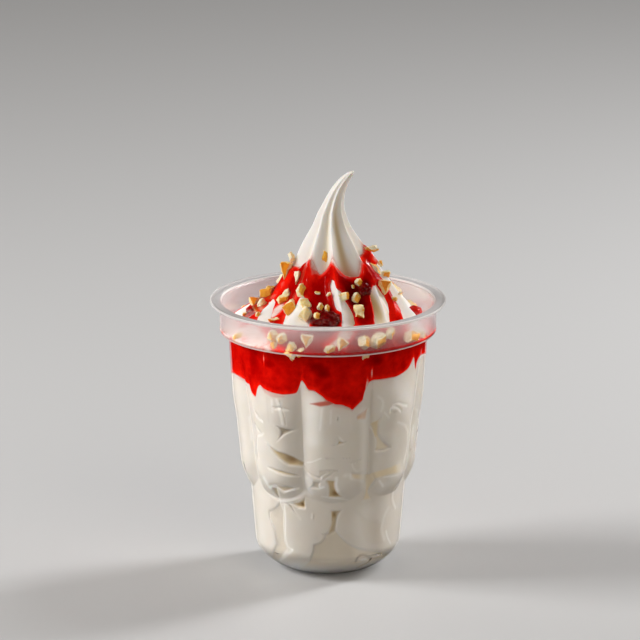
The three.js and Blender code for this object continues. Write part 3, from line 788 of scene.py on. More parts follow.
def distance_from_line(x, y, line):
    nearest = np.full(x.shape, FAR)
    for (x0, y0), (x1, y1) in zip(line, line[1:]):
        dx, dy = x1 - x0, y1 - y0
        t = np.clip(((x - x0) * dx + (y - y0) * dy) / (dx * dx + dy * dy + TINY), 0, 1)
        nearest = np.minimum(nearest, np.hypot(x - x0 - t * dx, y - y0 - t * dy))
    return nearest


def depth_inside(x, y, outline):
    """Distance of points from a closed outline, above 0 inside it."""
    closed = [*outline, outline[0]]
    inside = np.zeros(x.shape, bool)
    for (x0, y0), (x1, y1) in zip(closed, closed[1:]):
        inside ^= ((y0 > y) != (y1 > y)) & (x < (x1 - x0) * (y - y0) / ((y1 - y0) or TINY) + x0)
    nearest = distance_from_line(x, y, closed)
    return np.where(inside, nearest, -nearest)


def near_outline(x, y, outline, reach):
    low, high = np.min(outline, axis=0) - reach, np.max(outline, axis=0) + reach
    return (x > low[0]) & (x < high[0]) & (y > low[1]) & (y < high[1])


# %% Pockets all round
BACK_BEARINGS = np.arange(98, 270, 19)
BACK_HEIGHTS = (14, 31, 45, 58)
POCKET_SEED = 5
BEARING_LOOSE, HEIGHT_LOOSE = 7, 4  # how far a pocket may lie from its place in the grid
POCKET_LONG, POCKET_THIN, POCKET_LEAN = (3.5, 8.5), (0.35, 0.8), (-0.6, 0.6)
# A scattered pocket is painted tan, and gets painted shade in step with its depth.
POCKET_DEPTH, POCKET_TAN_SHADE = (0.4, 1.6), (0.1, 0.5)


def scattered_pockets():
    """Pockets of the same kind for the sides and the back."""
    draw = np.random.default_rng(POCKET_SEED)
    made = []
    for bearing in BACK_BEARINGS:
        for height in BACK_HEIGHTS:
            x = float(flat_across(bearing + draw.uniform(-BEARING_LOOSE, BEARING_LOOSE), FLAT_RADIUS))
            y = height + draw.uniform(-HEIGHT_LOOSE, HEIGHT_LOOSE)
            tips = draw.integers(2, 5)
            start = draw.uniform(0, 2 * math.pi)
            long, thin = draw.uniform(*POCKET_LONG), draw.uniform(*POCKET_THIN)
            lean = draw.uniform(*POCKET_LEAN)
            corners = []
            for tip in range(tips):
                angle = -(start + 2 * math.pi * tip / tips + draw.uniform(-0.3, 0.3))
                u, v = long * math.cos(angle), long * thin * math.sin(angle)
                bow = -0.12 if tips == 2 else draw.uniform(-0.3, -0.05)
                corners.append((x + u - lean * v, y + v + lean * u, bow))
            depth, painted_tan = draw.uniform(*POCKET_DEPTH), draw.uniform(*POCKET_TAN_SHADE)
            made.append((depth, 0.15 * depth, painted_tan, bowed_outline(corners)))
    return made


def all_on_flat_wall(places):
    return [on_flat_wall(*place) for place in places]


pockets = [
    (depth, shade, painted_tan, all_on_flat_wall(bowed_outline(corners)))
    for depth, shade, painted_tan, corners in POCKETS.values()
] + scattered_pockets()
folds = [
    (depth, light, wide, all_on_flat_wall(rounded_line(places))) for depth, light, wide, places in FOLDS
]
pits = [(*on_flat_wall(across, down), radius) for across, down, radius in PITS]
print(f"{len(pockets)} pockets, {len(folds)} folds, {len(pits)} pits")

# %% The pressed surface
IN_WALL = 0.2  # how far the contents reach into the wall
POCKET_STEEP = 1.3  # how quickly a pocket drops off from its edge
POCKET_SLOPE = 0.06  # how much it still falls towards its middle
RIM_HIGHLIGHT = 0.15  # the ice cream is painted paler just outside a pocket, as a painted highlight
# A groove is painted tan by this much, as painted shade.
FOLD_TAN_SHADE = 0.3
# A pit is made deeper and painted tan to brown, as painted shade.
PIT_DEPTH = 0.7
PIT_TAN_SHADE = 0.42
POCKET_REACH = 2  # a pocket changes nothing further away from its outline
EDGE_HIGHLIGHT_OUT, EDGE_HALF = 0.3, 0.4  # the painted highlight lies this far outside it and reaches this far each way
CORNER_PAINTED_LIGHT = 1  # painted light: the foot passes light into the lowest part, so that part is painted paler


def pressed_surface(bearing, height):
    """Depth behind the wall (below 0 it presses on it), yellowness as painted tan shade, and lightness as
    painted light and shade of the soft serve.
    """
    x, y = flat_across(bearing, FLAT_RADIUS), along_wall(height)
    depth = np.full(x.shape, -1.0)
    painted_tan, light = np.zeros(x.shape), np.zeros(x.shape)
    for deepest, shade, tan, outline in pockets:
        near = near_outline(x, y, outline, POCKET_REACH)
        if near.any():
            edge = depth_inside(x[near], y[near], outline)
            if deepest:
                fall = deepest * (1 - np.exp(-POCKET_STEEP * edge / deepest)) + POCKET_SLOPE * edge
                depth[near] = np.maximum(depth[near], np.where(edge > 0, fall, edge))
            # Painted tan shade inside a pocket, a painted highlight just outside it, and painted shade inside
            # it.
            painted_tan[near] = np.maximum(painted_tan[near], tan * ease(edge, 0, 0.8))
            pale = min(RIM_HIGHLIGHT, 0.3 * deepest) * hill((edge + EDGE_HIGHLIGHT_OUT) / EDGE_HALF)
            light[near] += pale - shade * ease(edge, -0.1, 0.4)
    for groove, bright, wide, line in folds:
        near = near_outline(x, y, line, wide)
        if near.any():
            across = hill(distance_from_line(x[near], y[near], line) / wide)
            if groove:
                cut = np.maximum(depth[near], -IN_WALL) + (groove + IN_WALL) * across
                depth[near] = np.where(across > 0, cut, depth[near])
            # Painted tan shade in a groove, and painted light along a fold, or painted shade where its number
            # is below 0.
            painted_tan[near] = np.maximum(painted_tan[near], FOLD_TAN_SHADE * groove * across)
            light[near] += bright * across
    # Painted tan shade at the bottom of pits.
    for pit_x, pit_y, radius in pits:
        pit = hill(np.hypot(x - pit_x, y - pit_y) / radius) * ease(depth, 0.1, 0.9)
        depth = depth + PIT_DEPTH * pit
        painted_tan = painted_tan + PIT_TAN_SHADE * pit
    # Painted light in the lowest part of the corner.
    light = light + CORNER_PAINTED_LIGHT * ease(height, 9, 4)
    # in the rounded corner it lies close to the wall everywhere
    return np.where(depth > 0, (depth + IN_WALL) * ease(height, 3, 13) - IN_WALL, depth), painted_tan, light


# %% [markdown]
# ## Soft serve
# The ice cream fills the cup and rises over it in a cone with eight ridges left by the nozzle, twisted on
# the way up. The cone's middle wanders to the right until the tip curls over. A star swept along a spiral
# would give the ridges too. Rows computed from a function were chosen, because the sauce and the nuts can
# then be laid on exactly the same surface. In the cup it reaches just into the wall wherever it touches, so
# that no film of air shows.

# %% Sizes of the soft serve
TIP_HEIGHT = 158.4
CONE_OUTLINE = [
    (96, 41.5), (98, 38.8), (100, 36.8), (103, 33), (105, 29.8), (108, 26.4), (115.3, 20.9), (123.3, 15.3),
    (130, 11.5), (137, 7.3), (140, 6.1), (145, 4.3), (150, 3.2), (154, 2.5), (156, 2.1), (157.5, 1.3),
]
CONE_MIDDLE = [
    (98, 0), (102, 1.5), (108, 3.4), (115.3, 3.1), (123.3, 2.3), (130, 1.6), (137, 1.25), (141, 1.3),
    (145, 2), (150, 3.6), (154, 5.8), (157.2, 8.4), (158.4, 9.9),
]
# Bearings of the ridges near the tip and down at the wall
RIDGES = [(-178, -168), (-128, -100), (-85, -64), (-39, -36), (1, 9), (49, 38), (88, 72), (135, 120)]
VALLEY_SHARE = 0.24
VALLEY_DEPTH = 4
FRONT_RIDGE = 4
VALLEY_LEAN = 0.33  # how far the valleys beside the front ridge lean towards it
CREST_ROUND = 0.004  # rounds the crests of the ridges
CREST_CUT = 0.063  # and lets them keep their height
SMOOTH_TIP = (142, 156)  # the valleys get shallower between these heights
TIP_SHALLOW = 0.6
LEAN_FADE = (110, 50)  # degrees from the front ridge between which the lean sets in
GAP = 0.3
SAUCE_AT_WALL = 3
# Lower edge of the sauce against the wall, round the sides and back: bearing, height
SAUCE_FOOT_BEHIND = [
    (90, 84.7), (105, 82), (118, 75.5), (127, 79.5), (150, 81), (164, 77), (176, 73), (188, 78.6),
    (206, 81), (224, 78.5), (239, 73.8), (248, 78.4), (270, 79),
]
# The same edge on the front, as it shows in the view: across, down
SAUCE_FOOT_FRONT = [
    (231.5, 372.5), (235, 374), (240, 378.5), (245, 383), (248, 384.5), (249.5, 390), (252, 394),
    (254.8, 396.5),
    (256.3, 390), (257.6, 386.5), (259.5, 385), (263, 388.5), (270, 392), (280, 394.5), (290, 394.5),
    (295, 393.5), (297, 390), (299, 384.5), (301, 381), (304, 384), (307, 389), (309, 390.7), (313, 391.2),
    (320, 395), (324, 398), (326, 400.5), (331, 402.5), (336, 404.5), (342, 405), (347, 407), (350, 408.2),
    (352.5, 410), (355, 408), (360, 403.5), (363.5, 400), (365, 393), (367.3, 387.5), (371, 382),
    (375, 380.5), (385, 379), (395, 377), (403, 373), (409, 367.5), (412, 362), (414.3, 357), (415.3, 365.5),
    (416.3, 369), (417.3, 363), (420, 357), (423.6, 354),
]
foot_knots = sorted([*(wall_place(*place) for place in SAUCE_FOOT_FRONT), *SAUCE_FOOT_BEHIND])
print("the sauce hangs down to", round(min(height for _, height in foot_knots), 1), "mm")


# %% The soft serve as a function
def sauce_foot(bearing):
    """Height of the sauce's lower edge against the wall."""
    return smooth_read(foot_knots, np.mod(bearing + 90, 360) - 90)


def ridge_bearings(height):
    share = ease(height, LEDGE_HEIGHT, 122)
    return [lerp(foot, top, share) for top, foot in RIDGES]


def valley_share(bearing, height):
    """0 on a ridge, 1 in the middle of a valley."""
    after, before = np.full(np.shape(bearing), 360.0), np.full(np.shape(bearing), 360.0)
    for ridge in ridge_bearings(height):
        off = np.mod(bearing - ridge, 360)
        after = np.minimum(after, off)
        before = np.minimum(before, 360 - off)
    off_front = turn_between(bearing, ridge_bearings(height)[FRONT_RIDGE])
    lean = VALLEY_LEAN * np.sign(off_front) * ease(np.abs(off_front), *LEAN_FADE)
    return np.sin(np.pi * (after / (after + before)) ** np.exp(-lean))


def cone_middle(height):
    return smooth_read(CONE_MIDDLE, height)


def cone_radius(bearing, height):
    """Outside of the cone, with the crests of its ridges a little rounded."""
    cone = smooth_read(CONE_OUTLINE, height)
    rounded = np.sqrt(valley_share(bearing, height) ** 2 + CREST_ROUND) - CREST_CUT
    share = VALLEY_SHARE * (1 - TIP_SHALLOW * ease(height, *SMOOTH_TIP))
    return cone - np.minimum(share * cone, VALLEY_DEPTH) * rounded


# %% Columns of the skin
def skin_bearings(front_step, back_step):
    """Bearings of the columns at the wall, closer together at the front, with one on every ridge."""
    feet = [foot for _, foot in RIDGES]
    made = []
    for start, end in zip(feet, feet[1:] + [feet[0] + 360]):
        middle = abs(turn_between((start + end) / 2, 0))
        step = front_step if middle < 90 else back_step
        made.extend(np.linspace(start, end, round((end - start) / step), endpoint=False))
    return np.array(made)


foot_bearings = skin_bearings(0.64, 1.25)
print(len(foot_bearings), "columns in the sauce and the cone")


def column_bearings(height):
    """The columns stand straight in the cup and follow the ridges on the cone."""
    feet = [foot for _, foot in RIDGES]
    now = ridge_bearings(height)
    return np.interp(foot_bearings, feet + [feet[0] + 360], now + [now[0] + 360])


# %% [markdown]
# ## Ice cream finish
# Soft serve is a pale cream that lets some light in, and pink beside the sauce. Where it lies deep it is
# painted darker and tan, as painted shade, and in places it is painted lighter, as painted light and
# highlights. The shades could be painted on an image. Here they are numbers stored on the points of the
# skin, so that they follow the shape, and the material mixes its colours by them.

# %% Ice cream finish
def ice_cream():
    f = Finish("soft_serve")
    hollow_shade, light = f.attribute("hollow_shade"), f.attribute("light")
    cream = f.mix(f.noise(6, 3), rgb(0.73, 0.68, 0.615), rgb(0.79, 0.755, 0.70))
    # Painted shade: the larger the number for hollows, the more tan and then brown the cream.
    deep = f.ramp(hollow_shade, [
        (0.0, rgb(0.74, 0.69, 0.625)), (0.25, rgb(0.80, 0.69, 0.50)), (0.5, rgb(0.68, 0.52, 0.28)),
        (0.9, rgb(0.40, 0.22, 0.05)),
    ])
    base = f.mix(f.band(hollow_shade, 0.01, 0.1), cream, deep)
    # Painted light where the light number is above 0, and painted shade where it is below 0.
    base = f.mix(f.maths("MAXIMUM", light, 0.0), base, rgb(0.97, 0.95, 0.92))
    base = f.mix(f.maths("MULTIPLY", light, -1.0, clamp=True), base, rgb(0.20, 0.15, 0.10))
    base = f.mix(f.attribute("stain"), base, rgb(0.60, 0.12, 0.07))
    grain = f.bump(f.noise(0.5, 3, 0.6), 0.02)
    return f.finish(f.add(
        "BsdfPrincipled", Base_Color=base, Roughness=0.42, Normal=f.bump(f.noise(4.5, 2), 0.12, Normal=grain),
        Specular_IOR_Level=f.mirror_off_wall(0.4), Subsurface_Weight=0.3, Subsurface_Scale=0.0016,
        Subsurface_Radius=(1.0, 0.75, 0.5),
    ))


ice_cream_material = ice_cream()

# %% Stains of sauce
# Films of sauce that have crept between the ice cream and the wall: strength and corners in the view
STAINS = [
    (0.9, [
        (309, 404.3), (318, 402.5), (327, 401), (332, 398), (337, 400), (334, 404), (328, 406), (320, 407),
    ]),
    (0.3, [(260, 386.5), (266, 391.5), (274, 393.5), (285, 396), (283, 398), (272, 397.5), (264, 393)]),
    (0.24, [(369, 409), (367, 420), (357.5, 420), (357, 416)]),
    (0.25, [(233, 375), (241, 379.5), (247, 385), (242, 382.5)]),
]
FRINGE_SIDE = 6  # the pink fringe under the sauce is widest at this bearing
FRINGE_WIDTH = 0.6
FRINGE_MORE = 1.6  # at its widest
FRINGE_STRENGTH = 0.4
FRINGE_SPREAD = 14
stains = [(strength, all_on_flat_wall(corners)) for strength, corners in STAINS]
print(len(stains), "stains")


def stain_at(bearing, height):
    x, y = flat_across(bearing, FLAT_RADIUS), along_wall(height)
    total = np.zeros(np.shape(x))
    for strength, outline in stains:
        total = np.maximum(total, strength * ease(depth_inside(x, y, outline), -0.2, 0.35))
    fringe = FRINGE_WIDTH + FRINGE_MORE * hill((bearing - FRINGE_SIDE) / FRINGE_SPREAD)
    return np.maximum(total, FRINGE_STRENGTH * ease(sauce_foot(bearing) - height, fringe, 0))


# %% Rows with numbers
class Rows:
    """Rows of points with the numbers that colour them."""

    def __init__(self, *names):
        self.points = []
        self.numbers = {name: [] for name in names}

    def add(self, bearing, radius, height, middle=0.0, **numbers):
        self.points.append(polar(bearing, radius, height, middle))
        for name, values in self.numbers.items():
            values.append(np.broadcast_to(numbers.get(name, 0.0), bearing.shape))

    def piece(self, name, material, bottom=None, top=None, back=()):
        """The piece, closed by a point at each end, or by rows of its back that lead to its first row."""
        made = new_piece(name, *skin(self.points + list(back), bottom, top, loop=bool(back)), [material])
        for number, values in self.numbers.items():
            give_attribute(made, number, np.array(values, float))
        return made


# %% The soft serve
CREAM_NUMBERS = ("hollow_shade", "stain", "pressed", "light")
BODY_STEPS = (0.45, 1.7)  # degrees between columns at the front and behind
BODY_ROW = 0.46
BODY_TOP = 90  # hidden behind the sauce
BODY_CORNER_ROWS = 20
FOOT_USUAL = 77  # the sauce's edge is at about this height
BEHIND_SAUCE = WALL + SAUCE_AT_WALL
ROOM_RADIUS = COLLAR_RADIUS - WALL - GAP  # how far the ice cream may reach over the ledge
PEAK_FOOT = BODY_TOP - 1.5
PEAK_HEIGHTS = np.concatenate([np.linspace(97, 112, 32), np.linspace(112.6, 157.6, 62)])
VALLEY_TAN_SHADE = 0.5  # painted tan shade in the valleys of the cone, most of all on the side turned from the key lamp
TAN_SIDE, TAN_SPREAD, TAN_ALL_ROUND = 22, 70, 0.2
TAN_FADE, TAN_FADES_BY = (136, 152), 0.75  # between these heights
CONE_PAINTED_LIGHT, CREST_HIGHLIGHT = 0.6, 0.4  # painted light on the cone, and a painted highlight on its crests on top of that
CREST_WIDE = 0.28


def make_body():
    """The soft serve that fills the cup, up to the sauce."""
    rows = Rows(*CREAM_NUMBERS)
    bearing = skin_bearings(*BODY_STEPS)
    floor_height = FOOT_RECESS + WALL - IN_WALL

    def add(radius, height):
        depth, painted_tan, light = pressed_surface(bearing, height)
        back = np.maximum(depth, -IN_WALL)
        rows.add(
            bearing, radius - back, height, hollow_shade=painted_tan, stain=stain_at(bearing, height), light=light,
            pressed=np.clip(-back / IN_WALL, 0, 1),
        )

    for share in np.linspace(0, 1, BODY_CORNER_ROWS + 2)[1:-1]:
        radius, height = corner_point(share, FOOT_RADIUS, floor_height, WALL)
        add(radius, height + 0 * bearing)
    foot = sauce_foot(bearing)
    for share in np.linspace(0, 1, round((FOOT_USUAL - CORNER_TOP) / BODY_ROW)):
        height = lerp(CORNER_TOP, foot - 0.15, share)
        add(body_radius(bearing, height) - WALL, height)
    for share in (0, 0.5, 1):
        height = lerp(foot + 0.15, BODY_TOP, share)
        rows.add(bearing, body_radius(bearing, height) - BEHIND_SAUCE, height)
    return rows.piece("soft_serve_in_cup", ice_cream_material, (0, 0, floor_height), (0, 0, BODY_TOP))


def make_peak():
    """The cone of soft serve over the cup, from behind the sauce to the tip."""
    rows = Rows(*CREAM_NUMBERS)
    for height in (PEAK_FOOT, LEDGE_HEIGHT - 1.5):
        rows.add(foot_bearings, body_radius(foot_bearings, height) - BEHIND_SAUCE, height)
    for height in PEAK_HEIGHTS:
        bearing = column_bearings(height)
        valley = valley_share(bearing, height)
        # Painted tan shade in the valleys, most on the side turned from the key lamp, and painted light with
        # a painted highlight on the crests.
        on_side = hill(turn_between(bearing, TAN_SIDE) / TAN_SPREAD)
        tan = VALLEY_TAN_SHADE * lerp(TAN_ALL_ROUND, 1, on_side) * valley ** 4
        tan = tan * (1 - TAN_FADES_BY * ease(height, *TAN_FADE))
        pale = CONE_PAINTED_LIGHT - tan + CREST_HIGHLIGHT * (1 - ease(valley, 0, CREST_WIDE))
        radius = np.minimum(ROOM_RADIUS, cone_radius(bearing, height))
        rows.add(bearing, radius, height, cone_middle(height), hollow_shade=tan, light=pale)
    tip = (CONE_MIDDLE[-1][1], 0, TIP_HEIGHT)
    return rows.piece("soft_serve_peak", ice_cream_material, (0, 0, PEAK_FOOT), tip)


body = make_body()
peak = make_peak()

# %% [markdown]
# ## Sauce
# The sauce has run down the valleys of the cone to the wall and hangs there in drips. A fluid simulation
# could pour it, but its edges wouldn't come where they are wanted. So it is one closed skin that lies over
# the soft serve, dives under its surface where it has slid off, and has a rounded bead for a border. The
# stretches of bare ice cream are given by their corners in the camera's view.

# %% Edges of the sauce
SAUCE_THICK = 1.3
SAUCE_POOL = 97
SAUCE_TOP_VALLEY = 119.5
SAUCE_TOP_RIDGE = 126.5
CONE_FLAT_RADIUS = 22
# Upper edge on the front of the cone, left to right: across, down
UPPER_EDGE = [
    (290, 265), (294, 260.5), (298, 266.5), (301, 269.5), (304.5, 265), (308, 260.5), (311.2, 257.5),
    (313, 262), (316, 269), (320.5, 274), (325, 271), (329, 265), (333, 259), (336, 265), (340, 270.5),
    (346, 275.5), (352, 276.5), (357.5, 276), (359.5, 270), (361, 262), (362, 254), (363, 247), (365, 244),
]
# Stretches where it has slid off: across, down of the corners
BARE_PATCHES = [
    [(222, 319), (236, 314), (242, 309.5), (246, 308.5), (247, 313), (244, 317), (236, 320)],
    [(257, 323), (263, 310), (268, 302), (274, 299.5), (275.5, 303), (273, 309), (271, 317), (270, 325)],
    [
        (286, 327), (285.5, 316), (289, 311.5), (296, 306), (300, 298), (303, 296), (307, 300), (311, 312),
        (309, 327),
    ],
    [
        (332, 280), (334, 281), (336, 288), (341, 292), (345, 301), (349, 307), (353, 315), (355, 324),
        (348, 331), (342, 326), (341.5, 312), (337, 310), (335, 306), (333, 297), (331, 290), (330, 285),
    ],
    [
        (375, 283.5), (380, 291), (384, 296), (387.5, 304), (389, 312), (389.5, 325), (375, 327), (374, 312),
        (372, 303), (370, 295), (373, 286),
    ],
    [
        (380, 276), (391, 276), (398, 284), (406, 293), (409, 300), (412, 306), (417, 315), (402, 322),
        (399, 308), (396, 302), (391, 294), (387, 288),
    ],
]
# A bare stretch round the right side, as bearings and heights
BARE_SIDE = [(76, 120), (92, 121.5), (118, 120), (118, 97), (78, 97)]
# Bare stretches of the sides and back, each down one ridge: number of the ridge, top, half width in degrees
BARE_RIDGES = [(0, 106, 9), (1, 103, 9), (6, 113, 14), (7, 110, 8)]
serve_tree = tree_of(peak)


def on_cone(across, down):
    """Bearing and height of the place on the soft serve that stands at a place in the view."""
    hit = cast(serve_tree, across, down)
    return bearing_of(hit.x - float(cone_middle(hit.z)), hit.y), hit.z


def flat_on_cone(places):
    return [(float(flat_across(bearing, CONE_FLAT_RADIUS)), height) for bearing, height in places]


upper_edge = sorted(on_cone(*place) for place in UPPER_EDGE)
bare_patches = [flat_on_cone(on_cone(*corner) for corner in corners) for corners in BARE_PATCHES]
bare_patches.append(flat_on_cone(BARE_SIDE))
print("upper edge spans bearings", round(upper_edge[0][0]), "to", round(upper_edge[-1][0]))


# %% The sauce as a function
EDGE_BLEND = 8  # degrees over which the front's upper edge passes into that of the sides
SLOPE_OF_CONE = 0.8
COAT_SOFT = 0.8  # the coat reaches its thickness over about this distance from its border
BEAD = 0.35
COAT_SUNK = 0.12
COAT_IN_VALLEYS = 0.7  # how much thicker the coat is in a valley
PATCH_REACH = 4
PATCH_SCALES = (0.6, 1.6)
RIDGE_REACH = 6
RIDGE_SOFT = 2  # a bare ridge ends over this much each way


def sauce_top(bearing, height):
    """How far the sauce reaches up the cone."""
    around = lerp(SAUCE_TOP_RIDGE, SAUCE_TOP_VALLEY, valley_share(bearing, height))
    turned = turn_between(bearing, 0)
    left, right = upper_edge[0][0], upper_edge[-1][0]
    share = ease(turned, left - EDGE_BLEND, left) * (1 - ease(turned, right, right + EDGE_BLEND))
    return lerp(around, smooth_read(upper_edge, turned), share)


def sauce_reach(bearing, height):
    """Distance inside the sauce's borders on the cone, below 0 where the ice cream is bare."""
    x = flat_across(bearing, CONE_FLAT_RADIUS)
    height = height + 0 * x
    reach = SLOPE_OF_CONE * (sauce_top(bearing, height) - height)
    for patch in bare_patches:
        near = near_outline(x, height, patch, PATCH_REACH)
        if near.any():
            scale = (np.minimum(cone_radius(bearing, height), 40) / CONE_FLAT_RADIUS)[near]
            edge = depth_inside(x[near], height[near], patch) * np.clip(scale, *PATCH_SCALES)
            reach[near] = np.minimum(reach[near], -edge)
    for number, top, wide in BARE_RIDGES:
        off = turn_between(bearing, ridge_bearings(height)[number]) / wide
        bare = hill(off / 1.5) * ease(top - height, -RIDGE_SOFT, RIDGE_SOFT)
        reach = np.minimum(reach, RIDGE_REACH * (0.5 - bare))
    return reach


def sauce_coat(bearing, height):
    """Thickness on the cone, measured level. Below 0 it lies under the ice cream."""
    reach = sauce_reach(bearing, height)
    thick = SAUCE_THICK * (1 + COAT_IN_VALLEYS * valley_share(bearing, height))
    coat = thick * (1 - np.exp(-np.maximum(reach, 0) / COAT_SOFT)) + BEAD * hill(reach - 1)
    return np.where(reach > 0, coat, reach) - COAT_SUNK


# %% Soft spots
def spots_on(place_of, spots, flat_radius):
    """Spots as places, half sizes and strengths on a flattened surface."""
    made = []
    for across, down, wide, tall, strength in spots:
        bearing, height = place_of(across, down)
        made.append((math.radians(bearing) * flat_radius, height, wide * PIXEL, tall * PIXEL, strength))
    return made


def spot_strength(x, y, spots):
    total = np.zeros(np.shape(x))
    for spot_x, spot_y, wide, tall, strength in spots:
        total += strength * hill(np.hypot((x - spot_x) / wide, (y - spot_y) / tall) / 1.5)
    return total


# %% [markdown]
# ## Pink edge above the sauce
# Thin sauce soaks a little way into the ice cream over its edge and colours it pink, and some places of the
# cone get painted shade or painted light. This needs the finished cone, so it changes the numbers stored on
# it.

# %% Pink edge, and painted shade and light
# Painted shade on the cone, tan and darker, or painted light if below 0: across, down, half width and half
# height in pixels, strength
CONE_SHADE_AND_LIGHT = [
    (374, 305, 5.5, 20, 0.6), (301, 318, 8, 4, 0.16), (386, 306, 1.6, 18, -0.5), (345, 310, 5, 14, -0.4),
    (396, 292, 5, 14, 0.16), (349, 250, 9, 20, -0.45),
]
PINK = 0.75
FADE = 0.15  # it fades upwards over this far in a valley
RIDGE_FADE = 1.0  # and this much further on a ridge
SIDE_FADE = 2.6  # and again on one side
SIDE_OF_FADE, SPREAD_OF_FADE = 22, 26
SPOT_LIGHT = 1.5  # painted shade: a tan place also loses this much lightness for each part of tan


def colour_peak():
    """Stains the ice cream just above the sauce, fading upwards, and paints shade and light on some places.
    """
    points = np.empty(len(peak.data.vertices) * 3)
    peak.data.vertices.foreach_get("co", points)
    x, y, height = points.reshape(-1, 3).T / MM
    bearing = np.degrees(np.arctan2(x - cone_middle(height), -y))
    above = height - sauce_top(bearing, height)
    on_ridge = 1 - ease(valley_share(bearing, height), 0.1, 0.7)
    on_side = hill(turn_between(bearing, SIDE_OF_FADE) / SPREAD_OF_FADE)
    width = FADE + RIDGE_FADE * on_ridge + SIDE_FADE * on_side
    stain = PINK * np.exp(-np.clip(above, 0, None) / width) * ease(above, -0.7, -0.1)
    just_below = height - np.clip(above, 0, None) - 1
    stain = stain * ease(sauce_reach(bearing, just_below), -0.3, 0.3)
    spots = spots_on(on_cone, CONE_SHADE_AND_LIGHT, CONE_FLAT_RADIUS)
    spot = spot_strength(flat_across(bearing, CONE_FLAT_RADIUS), height, spots)
    give_attribute(peak, "stain", stain)
    give_attribute(peak, "hollow_shade", np.clip(read_attribute(peak, "hollow_shade") + spot, 0, 1))
    give_attribute(peak, "light", np.clip(read_attribute(peak, "light") - SPOT_LIGHT * spot, 0, 1))
    print(len(spots), "tan and pale places on the cone")


colour_peak()


# %% [markdown]
# ## Sauce finish
# Strawberry sauce is a clear red syrup. It is bright where it is thin and nearly black where it is thick. A
# truly see-through syrup would need far longer to render than this one, whose colour is read from a number
# for its thickness. That number also carries painted highlights and painted shade.

# %% Sauce finish
def sauce_finish():
    f = Finish("strawberry_sauce")
    cloud = f.maths("MULTIPLY", f.maths("SUBTRACT", f.noise(3.5, 3, 0.6), 0.5), 0.35)
    base = f.ramp(f.maths("ADD", f.attribute("thick"), cloud, clamp=True), [
        (0.0, rgb(0.90, 0.72, 0.67)), (0.09, rgb(0.80, 0.20, 0.16)), (0.2, rgb(0.95, 0.012, 0.004)),
        (0.45, rgb(0.48, 0.001, 0.0006)), (0.75, rgb(0.20, 0.0005, 0.0005)), (1.0, rgb(0.05, 0.0003, 0.0003)),
    ])
    return f.finish(f.add(
        "BsdfPrincipled", Base_Color=base, Roughness=0.08, IOR=1.42, Normal=f.bump(f.noise(2.4, 2), 0.06),
        Specular_IOR_Level=f.mirror_off_wall(0.5), Subsurface_Weight=0.12, Subsurface_Scale=0.002,
        Subsurface_Radius=(1.0, 0.12, 0.06),
    ))


# %% Dark and light places of the sauce
# Against the wall: across, down, half width and half height in pixels, and how much thicker it looks there.
# The narrow streaks far below 0 are painted highlights.
WALL_SPOTS_AND_GLINTS = [
    (253, 360, 6, 16, 0.2), (240, 361, 8, 14, 0.04), (268, 364, 6, 4, 0.2), (320, 370, 7, 6, 0.2),
    (314, 366, 6, 4, 0.1), (325, 375, 6, 4, 0.12), (376, 361, 7, 5, 0.25), (238, 372, 8, 12, -0.1),
    (254, 388, 3, 8, -0.12), (355, 384, 8, 24, -0.1), (336, 352, 22, 4, 0.1), (422, 358, 5, 14, -0.1),
    # The narrow streaks far below 0 here are painted highlights, pale lines where the wall's creases catch a
    # lamp.
    (263.3, 360, 0.8, 7, -0.36), (373, 373, 1.4, 6, -0.45), (368, 386, 1.6, 10, -0.45),
    (404, 368, 3, 8, 0.12),
]
# On the cone, in the same way. The dark places right of the middle are thicker sauce and fruit, and partly
# painted shade; the one that lightens the left of the front is painted light.
CONE_SPOTS_SHADE_AND_LIGHT = [
    (286, 286, 9, 16, -0.3), (371, 258, 8, 10, -0.3), (365, 286, 6, 9, 0.55), (352, 295, 14, 26, 0.4),
    (322, 300, 10, 14, 0.1), (330, 318, 16, 10, 0.4), (394, 310, 6, 14, -0.25), (279, 312, 6.5, 14, -0.6),
    (252, 312, 7, 8, 0.25), (312, 280, 8, 16, -0.12), (300, 292, 4, 8, -0.25), (236, 338, 34, 12, -1.2),
    (262, 334, 14, 7, -0.25), (349, 329, 7, 7, -0.5), (342, 337, 7, 6, -0.5), (334, 344, 8, 4, -0.4),
    (411, 331, 12, 10, -0.45),
]
EDGE_DARK, BEAD_DARK, DEEP_DARK = 0.08, 0.12, 0.18  # at the drips' edge, and more over the next stretches
DEEP_FROM_EDGE = 2.2  # it is darkest from this far over the edge
BORDER_DARK, COAT_DARK, VALLEY_DARK = 0.12, 0.36, 0.1  # on the cone: at a border, inside it, in a valley
COAT_DARKENS = 1.6  # over about this distance
TOP_THIN, RIDGE_THIN = 0.25, 2.2  # the sauce is thin over this distance from its top, more on the ridges
THIN_SIDE, THIN_SPREAD = -10, 75
wall_spots_and_glints = spots_on(wall_place, WALL_SPOTS_AND_GLINTS, FLAT_RADIUS)
cone_spots_shade_and_light = spots_on(on_cone, CONE_SPOTS_SHADE_AND_LIGHT, CONE_FLAT_RADIUS)
print(len(wall_spots_and_glints) + len(cone_spots_shade_and_light), "dark and light places")


def dark_on_wall(height):
    """How thick the sauce looks against the wall: thin at its edge, and thicker further in."""
    over = height - sauce_foot(foot_bearings)
    # The spots add thicker and thinner places, and painted highlights.
    spots = spot_strength(flat_across(foot_bearings, FLAT_RADIUS), height, wall_spots_and_glints)
    at_edge = EDGE_DARK + BEAD_DARK * np.clip((over + 0.3) / 0.6, 0, 1)
    dark = at_edge + DEEP_DARK * np.clip(over / DEEP_FROM_EDGE, 0, 1)
    return np.clip(dark + spots, 0, 1)


